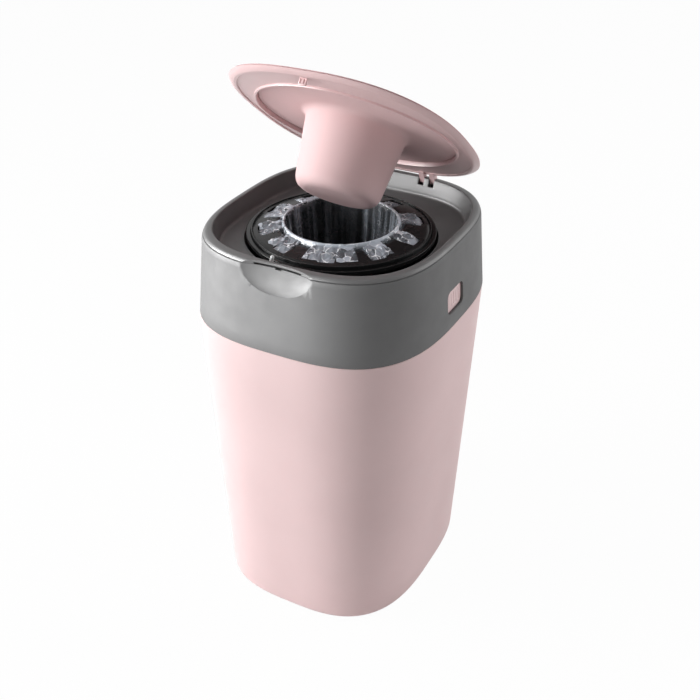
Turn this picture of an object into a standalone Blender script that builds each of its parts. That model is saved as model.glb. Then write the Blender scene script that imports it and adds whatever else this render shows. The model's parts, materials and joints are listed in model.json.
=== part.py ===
"""Nappy bin with a twist-film cassette, its hinged lid half open.

Metres, +Z up. The origin is the centre of the base on the floor, and the front faces -Y.
The lid's pieces are modelled as when the lid is shut, and the empty lid_axis turns them open.
"""

import math

import bmesh
import bpy
from mathutils import Matrix, Vector

# Cassette refill: a trough round a tube, all about one upright axis
ROUND_STEPS = 36
CASSETTE_RADIUS = 0.0961
CASSETTE_HEIGHT = 0.0696
CASSETTE_WALL = 0.0015
CASSETTE_OFFSET = 0.0077
TROUGH_WIDTH = 0.0341
TUBE_RADIUS = CASSETTE_RADIUS - TROUGH_WIDTH
TUBE_STAND = 0.0065
TUBE_EDGE = 0.0005
PACK_DROP = 0.0045
PACK_RIPPLE = 0.0010
PACK_RIPPLES = 8
PACK_CLEARANCE = 0.0010
FIT = 0.0003

# Cassette cap and its petals
PETALS = 10
PETAL_POINTS = 7
PETAL_SHARE = 0.62
PETAL_BLEND_SHARE = 0.16
CAP_DROP = 0.0009
CAP_RISE = 0.0044
CAP_THICKNESS = 0.0012
CAP_RING_WIDTH = 0.0061
CAP_TIP_GAP = 0.0052

# Carrier
CASSETTE_CLEARANCE = 0.0005
CARRIER_WALL = 0.0020
CARRIER_FLOOR = 0.0018
CARRIER_FLANGE = 0.0029
CARRIER_FLANGE_GAP = 0.0027
CARRIER_STAND = 0.0075
CARRIER_EDGE = 0.0006
CARRIER_LEDGE = 0.0226
CASSETTE_STAND = 0.0030

# Well liner: collar and seat, deck, sloping wall and rolled lip
PLAN_POWER = 3.0
PLAN_POINTS = 36
LINER_WALL = 0.0022
COLLAR_GAP = 0.0020
COLLAR_LIP = 0.0012
SEAT_WIDTH = 0.0315
DECK_SIDE = 0.0155
DECK_END = 0.0230
WELL_DEPTH = 0.0210
WELL_FILLET = 0.0038
WELL_LEAN_X = 0.0035
WELL_LEAN_Y = 0.0045
LIP_WIDTH_X = 0.0039
LIP_WIDTH_Y = 0.0065
LIP_EDGE = 0.0012
LIP_SKIRT = 0.0060
LIP_SKIRT_WALL = 0.0015

# Housing shell, its side windows and its finger scoop
HOUSING_WALL = 0.0022
HOUSING_HEIGHT = 0.0799
HOUSING_FLARE_X = 0.0053
HOUSING_FLARE_Y = 0.0097
RIM_HEIGHT = 0.0120
RIM_INSET = 0.0061
GROOVE_DROP = 0.0044
WINDOW_RISE = 0.0299
WINDOW_Y = -0.0100
WINDOW_HALF_Y = 0.0195
WINDOW_HALF_Z = 0.0130
WINDOW_CORNER = 0.0070
SCOOP_HALF_X = 0.0527
SCOOP_HALF_Y = 0.0153
SCOOP_HALF_Z = 0.0320
SCOOP_OUT = 0.0072
SCOOP_RISE = 0.0010
SCOOP_WALL = 0.0015
CATCH_HOLE_HALF_X = 0.0035
CATCH_HOLE_HEIGHT = 0.0026
CATCH_HOLE_DROP = 0.0032

# Tub
TUB_HEIGHT = 0.3591
TUB_TAPER_X = 0.0179
TUB_TAPER_Y = 0.0111
TUB_WALL = 0.0026
BASE_EDGE = 0.0090
FOOT_WIDTH = 0.0070
FOOT_HEIGHT = 0.0022
FLOOR_FILLET = 0.0080
SPIGOT_WALL = 0.0022
SPIGOT_CLEARANCE = 0.0005
SPIGOT_HEIGHT = 0.0489
SPIGOT_BLEND = 0.0140

# Release tabs, one in each side of the tub's spigot
TAB_MARGIN = 0.0025
TAB_SLOT = 0.0010
TAB_ROOT = 0.0077
TAB_DROP = 0.0010
TAB_WALL = 0.0018
WINDOW_GAP = 0.0015
PAD_HEIGHT = 0.0014

# Film sleeve: over the tube's rim, down inside it and closed by a knot
SLEEVE_POINTS = 40
SLEEVE_PLEATS = 10
FILM = 0.0006
FOLD_OUT = 0.0014
FOLD_IN = 0.0005
FOLD_GAP = 0.0006
SKIRT_OUT = 0.0036
SKIRT_DROP = 0.0008
SKIRT_TIP_GAP = 0.0035
SKIRT_TIP_DROP = 0.0010
SLEEVE_GAP = 0.0009
SLEEVE_TOP_DROP = 0.0030
SLEEVE_LOOSE = 0.0030
SLEEVE_LOOSE_DROP = 0.0470
NECK_IN = 0.0085
NECK_DROP = 0.0750
PLEAT_DEPTH = 0.0018
GRIPPED_RADIUS = 0.0330
GRIPPED_DROP = 0.0020
TWIST_RADIUS = 0.0090
TWIST_DROP = 0.0330
TWIST_FLOOR = 0.0050
KNOT_RADIUS = 0.0150
KNOT_DROP = 0.0140
TAIL_NECK_RADIUS = 0.0070
TAIL_NECK_DROP = 0.0120
TAIL_RADIUS = 0.0170
TAIL_DROP = 0.0230

# Grip ring: flexible fingers under the seat that hold each pack
FINGERS = 12
FINGER_POINTS = 6
FINGER_SHARE = 0.60
FINGER_BLEND_SHARE = 0.20
GRIP_MARGIN = 0.0157
GRIP_RING_WIDTH = 0.0280
GRIP_TIP_GAP = 0.0044
GRIP_THICKNESS = 0.0016
GRIP_DROP = 0.0180

# Click peg on the deck, beside the carrier
PEG_ANGLE = math.radians(256.5)
PEG_RADIUS = 0.0021
PEG_FOOT_RADIUS = 0.0030
PEG_FOOT = 0.0016
PEG_HEIGHT = 0.0167
PEG_LEAN = math.radians(18)

# Lid hinge
HINGE_INSET = 0.0082
HINGE_DROP = 0.0045
LID_OPEN = math.radians(37.6)
PIN_RADIUS = 0.0014
PIN_CLEARANCE = 0.0003
KNUCKLE_WALL = 0.0016
EAR_NEAR_X = 0.0270
EAR_WIDTH = 0.0060
EAR_SPACE = 0.0070
EAR_CLEARANCE = 0.0005
EAR_REACH = 0.0135
EAR_EMBED = 0.0012
EAR_SHANK = 0.0016
NOTCH_FLOOR = 0.0009
NOTCH_MARGIN = 0.0025
PIN_BLOCK_DEPTH = 0.0065

# Lid: outline, inner frame and top shell
LID_POWER = 2.53
LID_OVERHANG = -0.0006
LID_REAR_OUT = 0.0008
LID_FRONT_OUT = 0.0064
LID_WALL = 0.0020
LID_EDGE_INSET = 0.0061
LID_EDGE_RISE = 0.0039
LID_EDGE_BEND_SHARES = (0.45, 0.40)
LID_JOINT_RISE = 0.0004
RIB_MARGIN = 0.0158
RIB_WALL = 0.0025
RIB_DROP = 0.0012
LEDGE_WIDTH = 0.0140
LEDGE_WALL = 0.0017
SHELL_EDGE_RISE = 0.0014
SHELL_SHOULDER_RISE = 0.0010
SHELL_SHOULDER_INSET = 0.0070
SHELL_CROWN_RISE = 0.0070
DIAL_HOLE_MARGIN = 0.0035

# Lid catch
CATCH_HALF_X = 0.0040
CATCH_OUT = 0.0041
CATCH_WALL = 0.0015
CATCH_BARB = 0.0016
CATCH_LENGTH = 0.0066
CATCH_BARB_RISE = 0.0021

# Twist dial, its ratchet and its click spring
DIAL_GAP = 0.0010
DIAL_EDGE_DROP = 0.0016
DIAL_SHOULDER_DROP = 0.0006
DIAL_CROWN_RISE = 0.0016
DIAL_SKIRT_GAP = 0.0005
DIAL_WALL = 0.0020
HUB_GAP = 0.0008
HUB_WALL = 0.0030
DISH_RADIUS = 0.0640
DISH_SLOPE = 0.0060
DISH_DEPTH = 0.0068
BAR_HALF_WIDTH = 0.0085
BAR_BEVEL = 0.0025
BAR_SINK = 0.0008
RATCHET_TEETH = 24
RATCHET_RING = 0.0017
RATCHET_TOOTH = 0.0022
RATCHET_GAP = 0.0010
RATCHET_HEIGHT = 0.0022
SPRING_WALL = 0.0010
SPRING_SWEEP = math.radians(34)
SPRING_NOSE = 0.0013
SPRING_FOOT = 0.0010

# Plunger
PLATE_RISE = 0.0032
PLATE_GAP = 0.0010
PLATE_WALL = 0.0020
PLUNGER_GAP = 0.0058
PLUNGER_TAPER = 0.0100
PLUNGER_LENGTH = 0.0791
PLUNGER_WALL = 0.0022
PLUNGER_FILLET = 0.0085
PLUNGER_END_ROUND = 0.0120

# Cuts run this far past what they cut
OVERRUN = 0.0200

# Radii from the cassette outwards to the body's skin
CASSETTE_Y = -CASSETTE_OFFSET
TUBE_BORE = TUBE_RADIUS - CASSETTE_WALL
CAP_ROOT_RADIUS = CASSETTE_RADIUS - CASSETTE_WALL - CAP_RING_WIDTH
CARRIER_BORE = CASSETTE_RADIUS + CASSETTE_CLEARANCE
CARRIER_RADIUS = CARRIER_BORE + CARRIER_WALL + CARRIER_FLANGE
COLLAR_RADIUS = CARRIER_RADIUS + COLLAR_GAP
WELL_FOOT = (COLLAR_RADIUS + DECK_SIDE, COLLAR_RADIUS + DECK_END)
LIP_INNER = (WELL_FOOT[0] + WELL_LEAN_X, WELL_FOOT[1] + WELL_LEAN_Y)
SHOULDER_HALF_X = LIP_INNER[0] + LIP_WIDTH_X + RIM_INSET
SHOULDER_HALF_Y = LIP_INNER[1] + LIP_WIDTH_Y + RIM_INSET
SEAM_HALF_X = SHOULDER_HALF_X + HOUSING_FLARE_X
SEAM_HALF_Y = SHOULDER_HALF_Y + HOUSING_FLARE_Y
BASE_HALF_X = SEAM_HALF_X - TUB_TAPER_X
BASE_HALF_Y = SEAM_HALF_Y - TUB_TAPER_Y

# Heights from the floor up to the rim, then down to the seat
SEAM_Z = TUB_HEIGHT
WINDOW_Z = SEAM_Z + WINDOW_RISE
PAD_HALF_Y = WINDOW_HALF_Y - WINDOW_GAP
PAD_HALF_Z = WINDOW_HALF_Z - WINDOW_GAP
TAB_HALF_Y = PAD_HALF_Y + TAB_MARGIN
TAB_ROOT_Z = SEAM_Z + TAB_ROOT
SPIGOT_TOP_Z = SEAM_Z + SPIGOT_HEIGHT
TAB_TOP_Z = SPIGOT_TOP_Z - TAB_DROP
SHOULDER_Z = SEAM_Z + HOUSING_HEIGHT
RIM_Z = SHOULDER_Z + RIM_HEIGHT
GROOVE_Z = RIM_Z - GROOVE_DROP
DECK_Z = RIM_Z - WELL_DEPTH
CARRIER_TOP_Z = DECK_Z + CARRIER_STAND
CASSETTE_TOP_Z = CARRIER_TOP_Z + CASSETTE_STAND
CASSETTE_LOW_Z = CASSETTE_TOP_Z - CASSETTE_HEIGHT
TUBE_TOP_Z = CASSETTE_TOP_Z + TUBE_STAND
CARRIER_FLOOR_Z = CASSETTE_LOW_Z - FIT - CARRIER_FLOOR
SEAT_Z = CARRIER_FLOOR_Z - FIT
GRIP_TOP_Z = SEAT_Z - LINER_WALL - FIT
GRIP_TIP_Z = GRIP_TOP_Z - GRIP_DROP

# Front scoop, hinge and lid
SCOOP_Y = -SHOULDER_HALF_Y - SCOOP_OUT
SCOOP_Z = RIM_Z + SCOOP_RISE
SCOOP_BACK_Y = SCOOP_Y + SCOOP_HALF_Y
HINGE_Y = SHOULDER_HALF_Y - HINGE_INSET
HINGE_Z = RIM_Z - HINGE_DROP
KNUCKLE_RADIUS = PIN_RADIUS + PIN_CLEARANCE + KNUCKLE_WALL
EAR_FAR_X = EAR_NEAR_X + EAR_WIDTH + EAR_SPACE
LID_LOW_Z = RIM_Z + FIT
LID_HALF_X = SHOULDER_HALF_X - RIM_INSET + LID_OVERHANG
LID_REAR_Y = HINGE_Y + LID_REAR_OUT
LID_HALF_Y = (LID_REAR_Y + SHOULDER_HALF_Y + LID_FRONT_OUT) / 2
LID_EDGE_Z = LID_LOW_Z + LID_EDGE_RISE
LID_JOINT_Z = LID_EDGE_Z + LID_JOINT_RISE
SHELL_EDGE_Z = LID_JOINT_Z + SHELL_EDGE_RISE
SHELL_SHOULDER_Z = SHELL_EDGE_Z + SHELL_SHOULDER_RISE
SHELL_CROWN_Z = SHELL_SHOULDER_Z + SHELL_CROWN_RISE
RIB_RADIUS = LID_HALF_X - RIB_WALL - RIB_MARGIN
LEDGE_RADIUS = RIB_RADIUS - LEDGE_WIDTH
DIAL_HOLE_RADIUS = RIB_RADIUS - DIAL_HOLE_MARGIN
PLATE_LOW_Z = LID_LOW_Z + PLATE_RISE
LEDGE_LOW_Z = PLATE_LOW_Z + PLATE_WALL + FIT
LEDGE_TOP_Z = LEDGE_LOW_Z + LEDGE_WALL
HUB_RADIUS = LEDGE_RADIUS - HUB_GAP
RATCHET_TIP_RADIUS = HUB_RADIUS + FIT + RATCHET_RING + RATCHET_TOOTH
RATCHET_LOW_Z = LEDGE_TOP_Z + RATCHET_GAP
RATCHET_HIGH_Z = RATCHET_LOW_Z + RATCHET_HEIGHT

PINK = (0.86, 0.72, 0.72, 1.0)
GREY = (0.30, 0.30, 0.30, 1.0)
BLACK = (0.02, 0.02, 0.022, 1.0)
FILM_BLUE = (0.62, 0.68, 0.78, 1.0)
WHITE = (0.85, 0.85, 0.85, 1.0)
STEEL = (0.60, 0.60, 0.62, 1.0)


def clear_scene():
    for item in list(bpy.data.objects):
        bpy.data.objects.remove(item, do_unlink=True)


def new_collection(name):
    collection = bpy.data.collections.new(name)
    bpy.context.scene.collection.children.link(collection)
    return collection


def plastic(name, colour, roughness, metallic=0.0):
    material = bpy.data.materials.new(name)
    material.use_nodes = True
    shader = material.node_tree.nodes["Principled BSDF"]
    shader.inputs["Base Color"].default_value = colour
    shader.inputs["Roughness"].default_value = roughness
    shader.inputs["Metallic"].default_value = metallic
    return material


def place(item, material):
    """Put a finished piece in the bin's collection with its own material."""
    PARTS.objects.link(item)
    if material:
        item.data.materials.append(material)
    return item


def guide(item):
    """Keep a cutter or a stock shape out of the model."""
    CUTTERS.objects.link(item)
    item.hide_render = True
    item.display_type = "WIRE"
    return item


def object_from(name, shape):
    """Make an object of a bmesh, faces outwards and round pieces shaded smooth."""
    bmesh.ops.recalc_face_normals(shape, faces=shape.faces)
    mesh = bpy.data.meshes.new(name)
    shape.to_mesh(mesh)
    shape.free()
    mesh.shade_smooth()
    mesh.set_sharp_from_angle(angle=math.radians(35))
    return bpy.data.objects.new(name, mesh)


def oval(half_x, half_y, z, power=PLAN_POWER, centre_y=0.0, points=PLAN_POINTS):
    """A level ring of points on a superellipse, closer together where it bends more."""
    ring = []
    for step in range(points):
        angle = 2 * math.pi * step / points
        x, y = [
            math.copysign(abs(share) ** (2 / power), share) for share in (math.cos(angle), math.sin(angle))
        ]
        ring.append((half_x * x, centre_y + half_y * y, z))
    return ring


def circle(radius, z, centre_y=0.0, points=PLAN_POINTS):
    return oval(radius, radius, z, 2.0, centre_y, points)


def loft(name, rings, closed):
    """Join rings of equally many points. A closed loft is a shell; an open one is capped at both ends."""
    shape = bmesh.new()
    loops = [[shape.verts.new(point) for point in ring] for ring in rings]
    pairs = list(zip(loops, loops[1:]))
    if closed:
        pairs.append((loops[-1], loops[0]))
    else:
        shape.faces.new(loops[0])
        shape.faces.new(loops[-1])
    for low, high in pairs:
        for step in range(len(low)):
            after = (step + 1) % len(low)
            shape.faces.new((low[step], low[after], high[after], high[step]))
    return object_from(name, shape)


def lathe(name, profile, closed=True, steps=ROUND_STEPS):
    """Turn a profile of (radius, height) about Z; its outer side runs from top to bottom."""
    mesh = bpy.data.meshes.new(name)
    edges = [(step, step + 1) for step in range(len(profile) - 1)]
    if closed:
        edges.append((len(profile) - 1, 0))
    mesh.from_pydata([(radius, 0.0, height) for radius, height in profile], edges, [])
    item = bpy.data.objects.new(name, mesh)
    screw = item.modifiers.new("turn", "SCREW")
    screw.steps = steps
    screw.render_steps = steps
    screw.use_merge_vertices = True
    screw.merge_threshold = 0.00001
    screw.use_smooth_shade = True
    return item


def flat_radius(radius, steps=ROUND_STEPS):
    """How far the middle of a facet lies from the axis of a turned piece."""
    return radius * math.cos(math.pi / steps)


def rounded_outline(half_u, half_v, corner, per_corner=4):
    """Points round a rectangle with round corners, counter-clockwise."""
    points = []
    for quarter, (sign_u, sign_v) in enumerate(((1, 1), (-1, 1), (-1, -1), (1, -1))):
        for step in range(per_corner + 1):
            angle = math.pi / 2 * (quarter + step / per_corner)
            u = sign_u * (half_u - corner) + corner * math.cos(angle)
            v = sign_v * (half_v - corner) + corner * math.sin(angle)
            points.append((u, v))
    return points


def prism_x(name, outline, low_x, high_x):
    """A flat outline of (y, z) points, made thick along X."""
    rings = [[(x, y, z) for y, z in outline] for x in (low_x, high_x)]
    return loft(name, rings, closed=False)


def box(name, low, high):
    shape = bmesh.new()
    bmesh.ops.create_cube(shape, size=1.0)
    low, high = Vector(low), Vector(high)
    bmesh.ops.scale(shape, vec=high - low, verts=shape.verts)
    bmesh.ops.translate(shape, vec=(low + high) / 2, verts=shape.verts)
    return object_from(name, shape)


def rod_x(name, radius, low_x, high_x, y, z, sides=20):
    """A round rod along X."""
    shape = bmesh.new()
    bmesh.ops.create_cone(
        shape, cap_ends=True, segments=sides, radius1=radius, radius2=radius, depth=high_x - low_x
    )
    bmesh.ops.rotate(shape, matrix=Matrix.Rotation(math.pi / 2, 3, "Y"), verts=shape.verts)
    bmesh.ops.translate(shape, vec=((low_x + high_x) / 2, y, z), verts=shape.verts)
    return object_from(name, shape)


def combine(item, other, operation):
    change = item.modifiers.new(operation.lower(), "BOOLEAN")
    change.operation = operation
    change.object = other
    return item


def body_half(z):
    """Half sizes of the outer surface: it widens up to the seam and narrows above it."""
    if z <= SEAM_Z:
        share = (z - BASE_EDGE) / (SEAM_Z - BASE_EDGE)
        low, high = (BASE_HALF_X, BASE_HALF_Y), (SEAM_HALF_X, SEAM_HALF_Y)
    else:
        share = (z - SEAM_Z) / (SHOULDER_Z - SEAM_Z)
        low, high = (SEAM_HALF_X, SEAM_HALF_Y), (SHOULDER_HALF_X, SHOULDER_HALF_Y)
    return [start + (end - start) * share for start, end in zip(low, high)]


def body_ring(z, inset=0.0):
    half_x, half_y = body_half(z)
    return oval(half_x - inset, half_y - inset, z)


def rim_ring(z, inset=0.0):
    """A ring on the rounding between the shoulder and the flat top of the rim."""
    rise = (z - SHOULDER_Z) / (RIM_Z - SHOULDER_Z)
    tuck = RIM_INSET * (1 - math.sqrt(max(0.0, 1 - rise * rise)))
    return oval(SHOULDER_HALF_X - tuck - inset, SHOULDER_HALF_Y - tuck - inset, z)


def build_tub(material):
    """The pink lower shell: rounded foot, tapering wall, ledge at the seam and spigot above it."""
    base = [BASE_HALF_X, BASE_HALF_Y]
    foot_in = BASE_EDGE + FOOT_WIDTH
    rings = [
        oval(base[0] - foot_in - FOOT_HEIGHT, base[1] - foot_in - FOOT_HEIGHT, FOOT_HEIGHT),
        oval(base[0] - foot_in, base[1] - foot_in, 0.0),
    ]
    for step in range(5):
        angle = math.pi / 2 * step / 4
        tuck = BASE_EDGE * (1 - math.sin(angle))
        rings.append(oval(base[0] - tuck, base[1] - tuck, BASE_EDGE * (1 - math.cos(angle))))
    spigot = HOUSING_WALL + SPIGOT_CLEARANCE
    inner = spigot + SPIGOT_WALL
    rings += [
        body_ring(SEAM_Z),
        body_ring(SEAM_Z, spigot),
        body_ring(SPIGOT_TOP_Z, spigot),
        body_ring(SPIGOT_TOP_Z, inner),
        body_ring(SEAM_Z, inner),
        body_ring(SEAM_Z - SPIGOT_BLEND, TUB_WALL),
    ]
    floor_z = FOOT_HEIGHT + TUB_WALL
    for step in range(3):
        angle = math.pi / 2 * step / 2
        z = floor_z + FLOOR_FILLET * (1 - math.sin(angle))
        rings.append(body_ring(z, TUB_WALL + FLOOR_FILLET * (1 - math.cos(angle))))
    tub = place(loft("tub", rings, closed=False), material)
    reach = TAB_HALF_Y + TAB_SLOT
    for side in (-1, 1):
        ends = sorted((side * (SEAM_HALF_X - inner - OVERRUN), side * (SEAM_HALF_X + OVERRUN)))
        low = (ends[0], WINDOW_Y - reach, TAB_ROOT_Z - FIT)
        high = (ends[1], WINDOW_Y + reach, SPIGOT_TOP_Z + OVERRUN)
        combine(tub, guide(box("tab_slot_cut", low, high)), "DIFFERENCE")
    return tub


def scoop_form(name, grow):
    """The ellipsoid that hollows the front rim, grown for the wall behind the scoop."""
    shape = bmesh.new()
    bmesh.ops.create_uvsphere(shape, u_segments=36, v_segments=18, radius=1.0)
    half = (SCOOP_HALF_X + grow, SCOOP_HALF_Y + grow, SCOOP_HALF_Z + grow)
    bmesh.ops.scale(shape, vec=half, verts=shape.verts)
    bmesh.ops.translate(shape, vec=(0.0, SCOOP_Y, SCOOP_Z), verts=shape.verts)
    return guide(object_from(name, shape))


def ear_places():
    """The low X of each of the four hinge ears."""
    near, far = EAR_NEAR_X, EAR_FAR_X
    return (-far - EAR_WIDTH, -near - EAR_WIDTH, near, far)


def cut_hinge_notches(item):
    for low_x in ear_places():
        low = (
            low_x - EAR_CLEARANCE, HINGE_Y - EAR_REACH - NOTCH_MARGIN, HINGE_Z - KNUCKLE_RADIUS - NOTCH_FLOOR,
        )
        high = (low_x + EAR_WIDTH + EAR_CLEARANCE, SHOULDER_HALF_Y + OVERRUN, RIM_Z + OVERRUN)
        combine(item, guide(box("hinge_notch_cut", low, high)), "DIFFERENCE")


def cut_catch_hole(item):
    high_z = RIM_Z - CATCH_HOLE_DROP
    low = (-CATCH_HOLE_HALF_X, SCOOP_Y, high_z - CATCH_HOLE_HEIGHT)
    high = (CATCH_HOLE_HALF_X, -LIP_INNER[1] - LINER_WALL, high_z)
    combine(item, guide(box("catch_hole_cut", low, high)), "DIFFERENCE")


def build_housing(material, scoop):
    """The grey outer shell, with side windows, hinge notches and the finger scoop."""
    bottom = SEAM_Z + FIT
    turn = [SHOULDER_Z + (GROOVE_Z - SHOULDER_Z) * step / 3 for step in range(1, 4)]
    outer = [body_ring(bottom), body_ring(SHOULDER_Z)] + [rim_ring(z) for z in turn]
    inner = [
        rim_ring(GROOVE_Z, HOUSING_WALL),
        body_ring(SHOULDER_Z, HOUSING_WALL),
        body_ring(bottom, HOUSING_WALL),
    ]
    housing = place(loft("housing_shell", outer + inner, closed=True), material)
    backing = scoop_form("scoop_backing", SCOOP_WALL)
    combine(backing, guide(loft("housing_form", outer, closed=False)), "INTERSECT")
    combine(housing, backing, "UNION")
    combine(housing, scoop, "DIFFERENCE")
    window = rounded_outline(WINDOW_HALF_Y, WINDOW_HALF_Z, WINDOW_CORNER)
    window = [(WINDOW_Y + u, WINDOW_Z + v) for u, v in window]
    reach = SEAM_HALF_X + OVERRUN
    combine(housing, guide(prism_x("window_cut", window, -reach, reach)), "DIFFERENCE")
    cut_hinge_notches(housing)
    cut_catch_hole(housing)
    return housing


def build_liner(material, scoop):
    """The inner moulding: rolled lip, sloping well, deck, collar and the carrier's seat."""
    lip, foot = LIP_INNER, WELL_FOOT
    lip_low = GROOVE_Z + FIT
    lip_under = RIM_Z - LINER_WALL
    skirt = HOUSING_WALL + FIT
    skirt_low = lip_low - LIP_SKIRT
    outer_collar = COLLAR_RADIUS + LINER_WALL
    seat_radius = COLLAR_RADIUS - SEAT_WIDTH

    def ring(half, grow, z):
        return oval(half[0] + grow, half[1] + grow, z)

    def round_ring(radius, z):
        return circle(radius, z, CASSETTE_Y)

    def groove_ring(inset, z):
        return [(x, y, z) for x, y, _ in rim_ring(GROOVE_Z, inset)]

    rings = [
        rim_ring(lip_low),
        rim_ring((lip_low + RIM_Z) / 2),
        rim_ring(RIM_Z),
        ring(lip, LIP_EDGE, RIM_Z),
        ring(lip, 0.0, RIM_Z - LIP_EDGE),
        ring(foot, 0.0, DECK_Z + WELL_FILLET),
        ring(foot, -WELL_FILLET, DECK_Z),
        round_ring(COLLAR_RADIUS + COLLAR_LIP, DECK_Z),
        round_ring(COLLAR_RADIUS + COLLAR_LIP / 2, DECK_Z + COLLAR_LIP),
        round_ring(COLLAR_RADIUS, DECK_Z + COLLAR_LIP),
        round_ring(COLLAR_RADIUS, SEAT_Z),
        round_ring(seat_radius, SEAT_Z),
        round_ring(seat_radius, SEAT_Z - LINER_WALL),
        round_ring(outer_collar, SEAT_Z - LINER_WALL),
        round_ring(outer_collar, DECK_Z - LINER_WALL),
        ring(foot, -WELL_FILLET / 2, DECK_Z - LINER_WALL),
        ring(foot, LINER_WALL, DECK_Z + WELL_FILLET),
        ring(lip, LINER_WALL, lip_under),
        groove_ring(skirt + LIP_SKIRT_WALL, lip_under),
        groove_ring(skirt + LIP_SKIRT_WALL, skirt_low),
        groove_ring(skirt, skirt_low),
        groove_ring(skirt, lip_low),
    ]
    liner = place(loft("well_liner", rings, closed=True), material)
    cut_hinge_notches(liner)
    for side in (-1, 1):
        ends = sorted((side * (EAR_NEAR_X + EAR_WIDTH + EAR_CLEARANCE), side * (EAR_FAR_X - EAR_CLEARANCE)))
        back = SHOULDER_HALF_Y - RIM_INSET - FIT
        low = (ends[0], LIP_INNER[1] + LINER_WALL / 2, HINGE_Z - PIN_BLOCK_DEPTH)
        high = (ends[1], back, RIM_Z - LINER_WALL / 2)
        combine(liner, guide(box("pin_block", low, high)), "UNION")
    combine(liner, BORE, "DIFFERENCE")
    combine(liner, scoop, "DIFFERENCE")
    room = scoop_form("scoop_room", SCOOP_WALL + FIT)
    reach = SHOULDER_HALF_X
    low = (-reach, -SEAM_HALF_Y, SEAM_Z)
    combine(room, guide(box("scoop_room_limit", low, (reach, 0.0, lip_low))), "INTERSECT")
    combine(liner, room, "DIFFERENCE")
    return liner


def build_release_tab(name, side, material):
    """A pink tongue in the spigot's slot; its raised pad shows in the housing's window."""
    face = HOUSING_WALL + FIT
    leg = face + PAD_HEIGHT

    def skin(label, low_z, high_z, outer, inner):
        rings = [
            body_ring(low_z, outer),
            body_ring(high_z, outer),
            body_ring(high_z, inner),
            body_ring(low_z, inner),
        ]
        return loft(label, rings, closed=True)

    ends = sorted((0.0, side * (SEAM_HALF_X + OVERRUN)))
    item = place(skin(name, TAB_ROOT_Z, TAB_TOP_Z, leg, leg + TAB_WALL), material)
    low = (ends[0], WINDOW_Y - TAB_HALF_Y, TAB_ROOT_Z - OVERRUN)
    high = (ends[1], WINDOW_Y + TAB_HALF_Y, TAB_TOP_Z + OVERRUN)
    combine(item, guide(box(name + "_limit", low, high)), "INTERSECT")
    low_z, high_z = WINDOW_Z - PAD_HALF_Z - FIT, WINDOW_Z + PAD_HALF_Z + FIT
    pad = guide(skin(name + "_pad", low_z, high_z, face, leg + TAB_WALL / 2))
    outline = rounded_outline(PAD_HALF_Y, PAD_HALF_Z, WINDOW_CORNER - WINDOW_GAP)
    outline = [(WINDOW_Y + u, WINDOW_Z + v) for u, v in outline]
    combine(pad, guide(prism_x(name + "_pad_limit", outline, *ends)), "INTERSECT")
    return combine(item, pad, "UNION")


def build_carrier(material):
    """The black basket that the cassette sits in and turns with."""
    inner = CARRIER_BORE
    flange_z = DECK_Z + CARRIER_FLANGE_GAP
    floor_z = CARRIER_FLOOR_Z
    item = lathe("cassette_carrier", [
        (inner, CARRIER_TOP_Z),
        (CARRIER_RADIUS - CARRIER_EDGE, CARRIER_TOP_Z),
        (CARRIER_RADIUS, CARRIER_TOP_Z - CARRIER_EDGE),
        (CARRIER_RADIUS, flange_z),
        (inner + CARRIER_WALL, flange_z),
        (inner + CARRIER_WALL, floor_z),
        (inner - CARRIER_LEDGE, floor_z),
        (inner - CARRIER_LEDGE, floor_z + CARRIER_FLOOR),
        (inner, floor_z + CARRIER_FLOOR),
    ])
    return place(item, material)


def build_cassette(material):
    """The refill's trough: outer wall, floor and the inner tube that the nappies pass through."""
    low = CASSETTE_LOW_Z
    item = lathe("cassette_body", [
        (CASSETTE_RADIUS - CARRIER_EDGE, CASSETTE_TOP_Z),
        (CASSETTE_RADIUS, CASSETTE_TOP_Z - CARRIER_EDGE),
        (CASSETTE_RADIUS, low),
        (TUBE_BORE, low),
        (TUBE_BORE, TUBE_TOP_Z - TUBE_EDGE),
        (TUBE_BORE + TUBE_EDGE, TUBE_TOP_Z),
        (TUBE_RADIUS - TUBE_EDGE, TUBE_TOP_Z),
        (TUBE_RADIUS, TUBE_TOP_Z - TUBE_EDGE),
        (TUBE_RADIUS, low + CASSETTE_WALL),
        (CASSETTE_RADIUS - CASSETTE_WALL, low + CASSETTE_WALL),
        (CASSETTE_RADIUS - CASSETTE_WALL, CASSETTE_TOP_Z),
    ])
    return place(item, material)


def lobe(angle, count, fill_share, blend_share):
    """1 on a petal or finger, 0 in the gap beside it, with a smooth step between."""
    from_middle = abs((angle * count / (2 * math.pi)) % 1 - 0.5) * 2
    step = (fill_share + blend_share / 2 - from_middle) / blend_share
    step = min(1.0, max(0.0, step))
    return step * step * (3 - 2 * step)


def petal_ring(name, sizes, count, per_lobe, shares, material):
    """A sloping ring whose inner edge is cut into petals or fingers."""
    outer, root, tip, outer_z, tip_z, thickness = sizes
    points = count * per_lobe
    slope = (tip_z - outer_z) / (outer - tip)

    def ring(radius_at, drop):
        result = []
        for step in range(points):
            angle = 2 * math.pi * step / points
            radius = radius_at(angle)
            z = outer_z + (outer - radius) * slope - drop
            result.append((radius * math.cos(angle), radius * math.sin(angle), z))
        return result

    def edge(angle):
        return root + (tip - root) * lobe(angle, count, *shares)

    ways = [lambda angle: outer, edge]
    rings = [ring(way, 0.0) for way in ways] + [ring(way, thickness) for way in reversed(ways)]
    return place(loft(name, rings, closed=True), material)


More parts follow.
